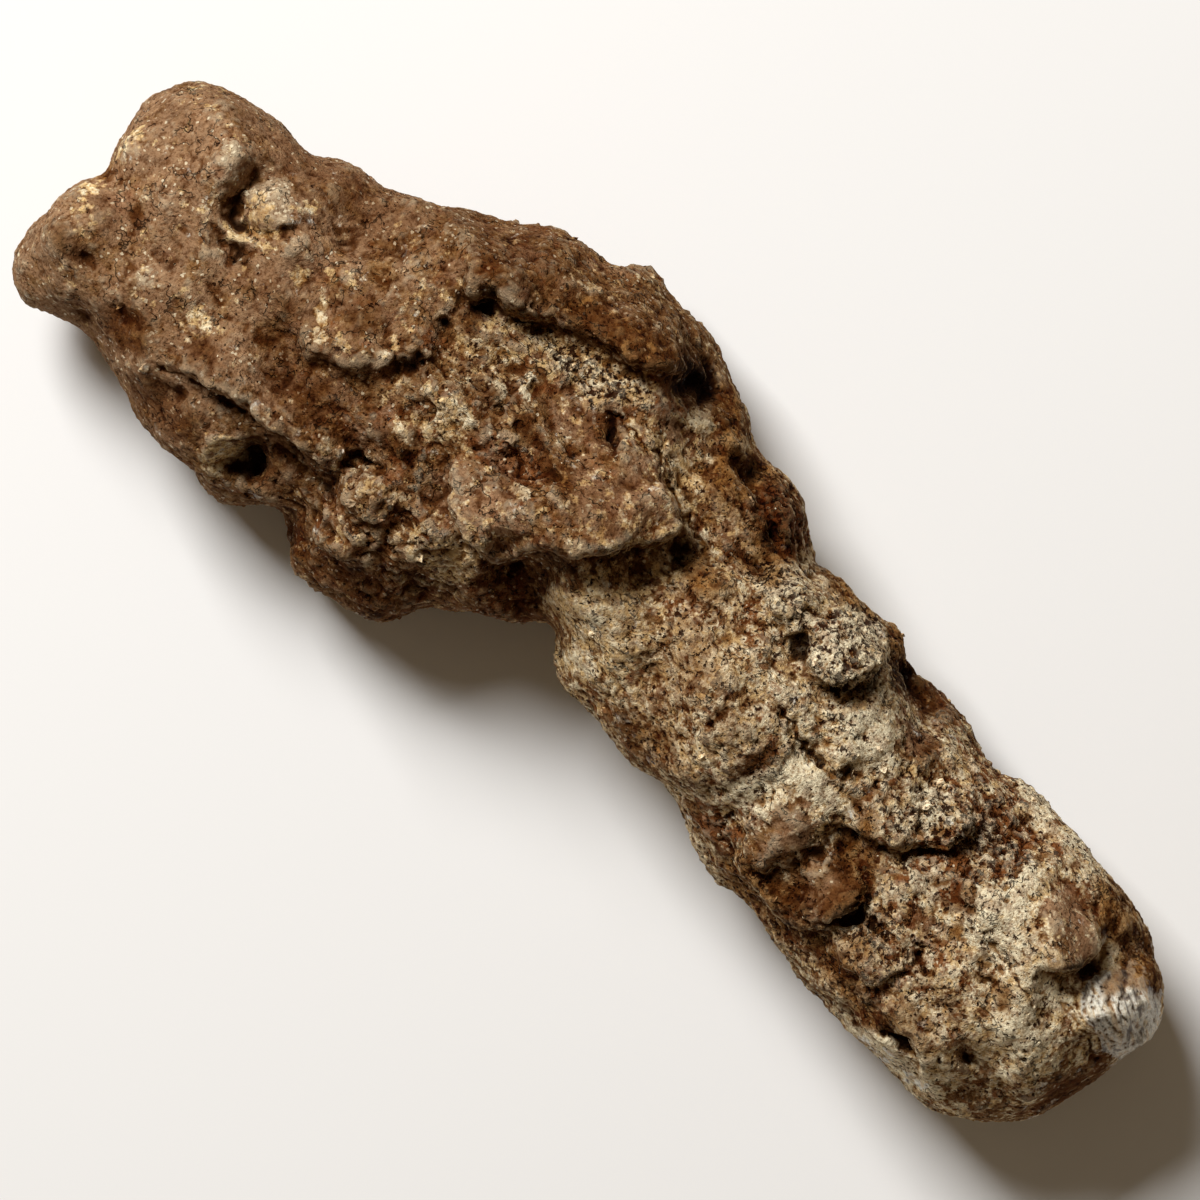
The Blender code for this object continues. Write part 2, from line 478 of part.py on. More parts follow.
def lay_down(obj):
    """Wears the lowest points flat, so that the lump rests on them, and centres its box on the origin."""
    points, _ = coordinates(obj.data)
    points[points[:, 2] < FLAT_BELOW, 2] = 0
    points[:, :2] -= (points[:, :2].min(axis=0) + points[:, :2].max(axis=0)) / 2
    set_points(obj.data, points)


def crust_material():
    material = bpy.data.materials.new("fused_soil_crust")
    material.use_nodes = True
    shader = material.node_tree.nodes["Principled BSDF"]
    shader.inputs["Base Color"].default_value = (0.2, 0.13, 0.08, 1)
    shader.inputs["Roughness"].default_value = 0.85
    shader.inputs["Metallic"].default_value = 0
    return material


def make_fulgurite():
    collection = bpy.data.collections.new("Fulgurite")
    bpy.context.scene.collection.children.link(collection)
    obj = bpy.data.objects.new(NODE, body_mesh())
    collection.objects.link(obj)
    remesh(obj, COARSE_VOXEL, 3)
    roughen(obj)
    remesh(obj, FINE_VOXEL, 2)
    place_relief(obj)
    remesh(obj, FINE_VOXEL, 2)
    thin_out(obj)
    lay_down(obj)
    obj.data.materials.append(crust_material())
    obj.data.shade_smooth()


clear_scene()
make_fulgurite()
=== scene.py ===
"""The looks of a fulgurite lying on a plain table: its crust, with crumbs and sand grains on it.

The crust is a remeshed copy of the solid. Ledges, cracks, knobs and stains are laid on it at named places, a
Geometry Nodes tree adds its relief, and another scatters the grains."""

import math

import bmesh
import bpy
import numpy as np
from bpy.props import FloatProperty, FloatVectorProperty, IntProperty, PointerProperty
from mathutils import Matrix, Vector, noise


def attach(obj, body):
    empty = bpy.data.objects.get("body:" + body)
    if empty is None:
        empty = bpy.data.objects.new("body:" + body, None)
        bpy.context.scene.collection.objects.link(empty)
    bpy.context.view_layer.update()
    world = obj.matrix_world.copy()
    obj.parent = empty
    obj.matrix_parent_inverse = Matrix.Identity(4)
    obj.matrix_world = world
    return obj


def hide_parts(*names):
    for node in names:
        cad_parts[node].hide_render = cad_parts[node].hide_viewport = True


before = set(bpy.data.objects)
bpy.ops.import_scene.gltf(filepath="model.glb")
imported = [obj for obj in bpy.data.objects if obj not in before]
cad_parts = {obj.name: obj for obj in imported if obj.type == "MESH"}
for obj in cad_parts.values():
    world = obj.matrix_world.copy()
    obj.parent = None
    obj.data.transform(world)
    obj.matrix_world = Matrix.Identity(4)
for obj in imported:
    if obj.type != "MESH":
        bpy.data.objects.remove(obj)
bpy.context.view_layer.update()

bl_info = {
    "name": "Fulgurite",
    "version": (1, 0, 0),
    "blender": (4, 5, 0),
    "location": "View3D > Sidebar > Fulgurite",
    "description": "A crusted lump of soil and sand fused by lightning, on a plain table",
    "category": "Object",
}

NODE = "fulgurite"
MM = 0.001
MOST_TRIANGLES = 198_000  # of the crust

# The camera looks straight down at AIM in the plan, with its top turned by ROLL degrees, from VIEW_HEIGHT
# metres above the middle of the lump.
ROLL = 41
AIM = (-1.07, -4.12)
VIEW_HEIGHT = 0.55
LUMP_MIDDLE = 0.012
NEAREST_SEEN = 0.01
KEY_DIRECTION = (-1.0, 0.3, 1.15)
KEY_DISTANCE = 0.8
KEY_WIDTH = 0.3
TABLE_HALF = 1.5

# Plan places are (x, y) in millimetres, where the camera sees them against the lump's middle, as the solid's
# features were laid out before its box was centred.
PLAN_SHIFT = (0.04, 0.35)
BEND = [(5.0, 1.3), (2.2, 0.7)]  # (wavelength, reach) of the irregularity that the solid's features have
BEND_SEED = 20
SEED_STEP = (7.3, 3.1, 5.7)  # how far apart two seeds look at the noise
RAGGED = 0.16
FINE_RAGGED = 0.6  # the share of the fine waves in it

# Ledges: a path with the high side on its left, rise at the edge, reach of the raised side, depth of the
# groove at its foot, and how far the edge leans out over it.
LEDGES = {
    "massif edge": (
        [(-26.2, 7.6), (-24.0, 8.0), (-22.0, 9.0), (-19.5, 10.1), (-16.5, 11.2), (-13.0, 12.2),
         (-10.0, 12.9), (-8.4, 13.6), (-7.6, 15.2)], 0.2, 2.0, 0.1, 0.0),
    "lobe step": (
        [(-34.0, -2.9), (-31.0, -3.9), (-28.5, -3.2), (-26.4, -1.5), (-25.0, 0.2), (-24.2, 1.8),
         (-24.2, 3.6)], 0.3, 1.5, 0.4, 0.2),
    "roof edge": (
        [(-17.6, -2.4), (-15.6, -4.8), (-14.5, -6.0), (-12.0, -7.0), (-9.6, -6.9), (-8.4, -5.0),
         (-7.3, -3.2), (-5.2, -2.5), (-3.6, -0.9), (-2.6, 1.0), (-0.8, 2.9), (0.1, 4.3),
         (-1.0, 5.5), (-4.0, 6.9)], 0.4, 1.6, 0.5, 0.5),
    "rim of the rusty hollow": (
        [(-19.0, 2.6), (-16.5, 2.3), (-14.5, 2.7), (-12.0, 2.6), (-10.2, 1.8), (-9.4, 0.9), (-10.2, -0.2)],
        0.6, 1.8, 0.6, 0.2),
    "strata edge": (
        [(-41.0, -12.0), (-38.0, -11.6), (-35.0, -11.1), (-32.5, -10.5), (-30.4, -10.7),
         (-27.5, -10.2), (-24.8, -9.9), (-23.0, -9.4)], 0.5, 2.0, 0.8, 0.4),
    "second stratum": ([(-30.2, -11.3), (-27.6, -11.0), (-25.4, -10.8), (-23.4, -10.3)], 0.4, 0.9, 0.5, 0.2),
    "head stratum": ([(-46.6, -11.8), (-45.0, -11.0), (-43.4, -10.9), (-41.6, -11.6)], 0.3, 1.8, 0.4, 0.1),
    "foot of the nodule": (
        [(-43.5, 0.1), (-42.3, 0.1), (-41.2, 0.9), (-40.0, 1.5), (-39.1, 2.4), (-39.0, 3.6)],
        0.5, 1.6, 0.6, 0.2),
    "chin ledge": (
        [(-22.9, -12.4), (-21.8, -14.2), (-19.5, -15.1), (-17.4, -14.2), (-16.4, -13.4)],
        0.6, 1.6, 0.7, 0.3),
    "foot of the knob": (
        [(-23.3, -8.6), (-22.8, -10.3), (-21.4, -11.4), (-19.6, -11.5), (-18.2, -10.4)],
        0.6, 1.4, 0.7, 0.3),
    "neck crest": (
        [(7.4, 7.9), (5.6, 9.2), (3.6, 10.2), (1.2, 10.8), (-0.6, 11.3), (-1.6, 12.2)], 0.5, 1.5, 0.7, 0.3),
    "knuckle edge": (
        [(14.4, 4.8), (14.9, 3.6), (16.2, 3.0), (17.7, 3.7), (18.7, 5.1), (19.1, 6.8), (19.4, 8.8)],
        0.7, 1.8, 1.0, 0.4),
    "neck plate end": ([(18.0, -2.4), (17.5, -3.8), (16.9, -5.4)], 0.4, 2.2, 0.5, -0.2),
    "lump edge": (
        [(20.4, -5.4), (19.5, -7.4), (19.3, -9.6), (19.8, -11.2), (21.4, -11.9), (23.4, -11.5)],
        0.4, 1.6, 0.5, 0.2),
    "second lump's edge": (
        [(24.6, -12.9), (26.6, -12.7), (28.6, -11.8), (30.0, -10.2), (30.4, -8.6), (29.6, -7.0),
         (28.4, -6.2)], 0.6, 1.6, 0.9, 0.4),
    "shelf edge": (
        [(25.0, -4.8), (28.5, -3.6), (30.5, -2.6), (32.0, -1.4), (33.1, -0.2), (33.5, 1.6), (33.9, 3.0)],
        0.5, 1.8, 0.7, 0.3),
    "tail lobe edge": (
        [(44.8, -3.0), (46.4, -1.8), (47.2, 0.0), (47.2, 1.6), (46.5, 3.6)], 0.4, 2.0, 0.8, 0.4),
    "tail strip": ([(33.5, -13.6), (38.0, -13.9), (42.5, -14.7), (45.2, -16.2)], 0.5, 1.5, 0.6, 0.2),
    "tail seam": ([(30.5, -12.7), (33.5, -13.0), (36.0, -12.3), (37.4, -10.4)], 0.4, 1.5, 0.5, 0.2),
}
EDGE_WIDTH = 0.28
LIP_WIDTH = 0.9
FOOT_WIDTH = 1.1
CROWN_FALL, FOOT_FALL = 1.3, 1.5  # how fast the raised side and the groove die away
END_FADE = 1.2

# Cracks and slots: a path, half width and depth.
CRACKS = {
    "strata crack": (
        [(-40.0, -12.0), (-38.0, -11.9), (-36.0, -11.5), (-34.0, -11.4), (-32.4, -10.8), (-31.0, -11.0)],
        0.2, 0.5),
    "slot behind the brow": (
        [(-44.6, -0.2), (-44.3, 0.8), (-44.0, 2.2), (-43.8, 3.6), (-43.6, 4.8)], 0.25, 0.3),
    "slot under the rib": ([(-45.0, -1.9), (-43.4, -1.9), (-41.6, -1.8), (-39.8, -1.8)], 0.4, 0.6),
    "step of the lobe": ([(-26.4, -0.9), (-25.4, 0.0), (-24.7, 1.2), (-24.4, 2.4)], 0.5, 1.0),
    "lobe line": ([(-28.8, -3.1), (-27.4, -2.3), (-26.0, -1.8)], 0.2, 0.5),
    "notch": ([(-26.6, 7.0), (-25.0, 7.0), (-24.0, 7.6), (-23.6, 9.4)], 0.5, 0.6),
    "wedge under the massif": ([(-22.8, 8.3), (-21.0, 8.9), (-19.2, 9.8)], 0.3, 0.7),
    "slot at the roof's back": ([(-17.4, -1.6), (-16.4, -1.0), (-15.4, 0.0)], 0.35, 0.9),
    "slot by the fringe": ([(-21.2, -4.6), (-20.0, -5.2), (-18.8, -5.4)], 0.5, 0.9),
    "crack over the knob": ([(-24.6, -8.7), (-23.4, -8.0), (-21.8, -7.4), (-20.2, -6.9)], 0.2, 0.8),
    "fringe line": ([(-18.6, -8.7), (-16.0, -8.7), (-13.6, -9.0)], 0.2, 0.5),
    "second fringe line": ([(-21.4, -11.9), (-19.0, -12.3), (-17.4, -12.0)], 0.2, 0.5),
    "fringe groove": ([(-17.4, -10.8), (-16.8, -12.0), (-16.4, -13.2)], 0.3, 0.5),
    "roof's back line": (
        [(-10.6, 7.9), (-8.0, 8.3), (-6.0, 8.0), (-4.2, 7.4), (-2.2, 6.5), (-0.4, 5.8), (1.2, 5.3),
         (2.6, 4.7), (4.2, 4.1), (5.6, 3.8)], 0.2, 0.7),
    "short neck line": (
        [(0.6, 1.9), (1.6, 1.1), (3.2, 0.8), (4.5, 1.2), (6.0, 1.7), (6.6, 1.0), (7.8, 0.1)], 0.16, 0.5),
    "long neck line": (
        [(14.6, -0.7), (16.0, -1.0), (17.4, -1.3), (18.6, -1.7), (20.4, -2.3), (22.0, -2.2), (23.2, -2.3)],
        0.22, 0.9),
    "black pit in the neck": ([(22.4, -0.4), (22.6, -1.2), (23.1, -1.6), (23.3, -2.3)], 0.25, 1.4),
    "flow line": ([(13.4, -3.0), (12.2, -5.4), (10.4, -8.6)], 0.16, 0.35),
    "second flow line": ([(10.6, -4.4), (9.4, -6.6), (8.0, -9.0)], 0.16, 0.35),
    "third flow line": ([(6.2, -4.8), (5.2, -7.2), (4.4, -9.6)], 0.16, 0.3),
    "knuckle slot": ([(6.2, 7.2), (6.9, 6.4), (7.2, 5.4)], 0.25, 0.6),
    "lump gap": ([(25.4, -9.2), (25.2, -8.0), (25.4, -6.8)], 0.3, 0.6),
    "gap before the tail": ([(30.4, -7.0), (30.9, -8.6), (30.6, -10.2), (29.8, -11.6)], 0.45, 1.3),
    "shelf foot": ([(30.2, -3.2), (31.4, -2.0), (32.8, -0.8), (33.7, 0.6), (34.0, 2.0)], 0.35, 0.9),
    "seam over the tail": ([(39.6, -4.3), (42.0, -4.4), (44.6, -4.9), (48.2, -5.1)], 0.16, 0.4),
    "crack in the tail": ([(40.8, -6.9), (42.4, -6.4), (43.9, -6.6)], 0.2, 0.6),
    "seam under the glass": ([(45.2, -2.6), (46.6, -2.7), (48.2, -3.1)], 0.25, 0.8),
    "glass seam": ([(50.2, -4.2), (52.2, -5.0), (53.8, -5.6)], 0.2, 0.6),
    "glass rim line": ([(50.0, 1.6), (51.0, 0.4), (52.4, -0.4)], 0.2, 0.6),
    "slit in the strip": ([(38.4, -14.4), (40.0, -14.6), (41.8, -14.8)], 0.4, 1.2),
    "second slit": ([(34.6, -13.9), (36.2, -14.1), (37.6, -14.2)], 0.3, 0.7),
    "tail nick": ([(31.6, -8.8), (32.8, -9.2), (34.2, -8.9), (35.2, -9.2)], 0.35, 0.8),
    "second tail nick": ([(37.4, -9.6), (36.8, -10.8), (36.0, -12.4)], 0.3, 0.8),
    "third tail nick": ([(36.4, -7.2), (36.8, -8.4), (37.8, -9.2), (39.0, -9.0)], 0.25, 0.8),
    "bite line": ([(44.2, -11.6), (45.4, -12.2), (46.8, -11.9)], 0.4, 0.9),
    "second bite line": ([(47.4, -11.7), (48.8, -11.9), (50.0, -11.4)], 0.35, 0.7),
    "crack beside the rust": ([(36.6, -0.6), (36.9, -1.8), (37.6, -2.8), (36.8, -4.2)], 0.16, 0.4),
    "lobe crack": ([(43.8, 5.4), (44.8, 4.2), (45.4, 2.6)], 0.2, 0.6),
}

# Knobs and pits: x, y, half length, half width, rise, sharpness and, where there is one, a turn in degrees. A
# sharpness of 2 is a soft swell, 1 a dome and under 1 a steep-sided knob. A negative rise is a pit.
KNOBS = {
    "brow": (-46.2, 2.2, 2, 3, 0.4, 0.7),
    "rusty dimple in the brow": (-46.6, 2.1, 0.6, 0.5, -0.35, 1),
    "nodule": (-41.9, 2.3, 2, 1.9, 0.4, 0.5, 30),
    "nodule's tail": (-39.6, 4.3, 1.2, 0.4, 0.4, 0.7),
    "nodule's knob": (-39.9, 2.8, 0.6, 0.6, 0.4, 0.6),
    "rib under the socket": (-41.6, -0.8, 2.4, 0.45, 0.5, 0.7, 12),
    "bead under the nodule": (-40, 1, 1.1, 0.5, 0.4, 0.8, 10),
    "thumb pit": (-50, -10.1, 0.9, 0.6, -0.5, 1),
    "dimple": (-47.2, -13.5, 1, 0.6, -0.8, 1, 10),
    "slot by the edge": (-37.7, -13.4, 1.2, 0.4, -0.8, 0.8),
    "cave by the fringe": (-29, -13.4, 1.3, 2.3, -0.8, 1),
    "cave at the massif's end": (-6.5, 14.6, 1.8, 2, -0.8, 1, -20),
    "pit in the massif": (-24.3, 12.2, 0.6, 0.5, -0.8, 0.8),
    "hole by the notch": (-25.1, 4.7, 0.6, 0.4, -1.1, 0.8),
    "white crystal": (-16.7, 5.5, 0.6, 0.8, 0.5, 0.4),
    "second crystal": (-18.2, 4, 0.3, 0.25, 0.3, 0.4),
    "third crystal": (-15.8, 3.6, 0.25, 0.25, 0.3, 0.4),
    "crystal in the hollow": (-11.4, -1.3, 0.5, 0.3, 0.5, 0.4, -20),
    "pale knob": (-22, -4, 0.9, 0.8, 0.6, 0.5),
    "second pale knob": (-22.3, -0.1, 0.6, 0.5, 0.5, 0.5),
    "third pale knob": (-18.7, 0.1, 1, 0.6, 0.4, 0.6, 10),
    "slot in the roof": (-9, 6.9, 1.5, 0.7, -1.2, 0.8, -50),
    "pit in the hollow": (-12.6, 2.1, 0.5, 0.4, -0.6, 1),
    "second pit in the hollow": (-10.4, 1.5, 1.2, 0.8, -0.9, 1),
    "white bead": (-0.9, 13, 0.9, 0.8, 0.5, 0.5),
    "second white bead": (-4.2, 12.3, 0.9, 0.8, 0.5, 0.5),
    "ringed pit": (6.1, 9.2, 1, 0.9, -0.9, 0.7),
    "ring's middle": (6.5, 9.6, 0.5, 0.4, 0.9, 0.5),
    "black pore": (10.6, 8.8, 0.35, 0.25, -0.8, 0.6),
    "second black pore": (13.8, 7.3, 0.4, 0.25, -0.8, 0.6, 30),
    "cave by the knuckle": (13.3, 4, 1.2, 0.8, -0.6, 1, -25),
    "shade under the knuckle": (18.8, 3.9, 1.7, 0.9, -0.5, 1, 38),
    "tip of the knuckle": (16, 4.6, 1.1, 1.5, 0.4, 0.6, -20),
    "recess behind the knuckle": (21.2, 7.6, 1.8, 1.3, -0.8, 1, -12),
    "neck pore": (19.7, -1.2, 0.35, 0.3, -0.7, 0.6),
    "second neck pore": (17.2, -0.6, 0.3, 0.25, -0.5, 0.6),
    "ringed pore": (40.8, 1.6, 0.4, 0.35, -0.6, 0.6),
    "bite in the tail": (45.4, -11.8, 1.4, 0.5, -0.4, 1, 10),
    "shelf beside the knuckle": (25.6, 1.2, 5.8, 4.8, 2, 1.3),
    "cream end of the neck": (22.2, -4.2, 4.6, 4, 1.8, 1.4, -15),
    "first lump": (23.6, -8.6, 3.2, 3.4, 1.1, 1),
    "rusty ground": (37.6, 1.2, 6, 5.2, 1.9, 1.3),
    "near end of the neck": (2.8, -4.6, 6.4, 5.6, 1.2, 1.4),
    "cream bump of the fringe": (-11.2, -9, 2.8, 2.2, 1.5, 1.2),
    "bump beside it": (-14.4, -9.8, 2.8, 2.4, 1.1, 1.3),
    "ground under the massif": (-18, 7.4, 3.4, 2.8, 1.3, 1.3, 20),
    "tan ground": (-12.6, 9.4, 4.8, 2.4, 1, 1.3, 8),
    "ground beside the lobe": (-18, -1.6, 3.2, 2.8, 1, 1.3),
    "glass shoulder": (54.8, -4, 5.4, 3.8, 1.6, 1.1, -25),
    "cream beside the tail's lobe": (43.6, -3.6, 4.6, 3.2, 1.1, 1.4, -20),
    "wall of the cave": (-31, -15.4, 2.2, 2.6, 1.3, 1.2),
    "shelf pit": (33.6, 1.8, 0.5, 0.8, -0.8, 0.7),
    "tail bead": (47.9, 4.6, 1, 0.8, 0.6, 0.6),
    "second tail bead": (48.6, 1.6, 1, 0.9, 0.5, 0.6),
    "third tail bead": (52.4, 2.9, 1.4, 0.9, 0.5, 0.7, -15),
}

# Flutes of the bare glass at the tip. FLUTE_WAVES sway them: the reach and rate of each wave.
FLUTE_MIDDLE = (51.2, -1.6)
FLUTE_SIZE = (4.6, 3.4)
FLUTE_TURN = -33
FLUTE_SPACING = 0.85
FLUTE_DEPTH = 0.68
FLUTE_SOFTNESS = 0.6
FLUTE_WAVES = ((0.1, 1.3), (0.05, 3.1))

# Stains, bare patches and painted shade, as masks from 0 to 1: each mask's level along x, on all sides.
ALONG = {
    "lime": [(-56, 0.1), (-30, 0.12), (-12, 0.25), (-3, 0.35), (1, 0.6), (10, 0.66), (20, 0.7), (28, 0.5),
             (36, 0.45), (42, 0.66), (55, 0.5)],
    "white": [(-56, 0), (0, 0), (8, 0.3), (20, 0.35), (30, 0.2), (42, 0.3), (55, 0.3)],
    # painted shade, with darker soil
    "dark": [(-56, 0), (-30, 0.1), (-14, 0.2), (0, 0.1), (55, 0)],
    "rust": [(-56, 0.05), (-34, 0.12), (-26, 0.3), (-10, 0.4), (0, 0.35), (20, 0.4), (30, 0.5), (36, 0.55),
             (42, 0.38), (55, 0.25)],
    "dust": [(-56, 0.8), (-38, 0.7), (-26, 0.35), (-15, 0.3), (0, 0.1), (55, 0.05)],
    "grey": [(-56, 0.12), (-20, 0.15), (0, 0.05), (40, 0.05), (55, 0.2)],
    "glass": [(-56, 0), (46, 0), (55, 0.15)],
    "rough": [(-56, 0.18), (-40, 0.2), (-28, 0.35), (-18, 0.45), (0, 0.3), (10, 0.3), (20, 0.4), (30, 0.5),
              (44, 0.25), (55, 0.2)],
    "porous": [(-56, 0.15), (-40, 0.15), (-28, 0.3), (-18, 0.4), (0, 0.45), (10, 0.5), (20, 0.6), (30, 0.6),
               (44, 0.5), (55, 0.3)],
    "hollow": [(-56, 0), (55, 0)],
}

MASKS = tuple(ALONG)

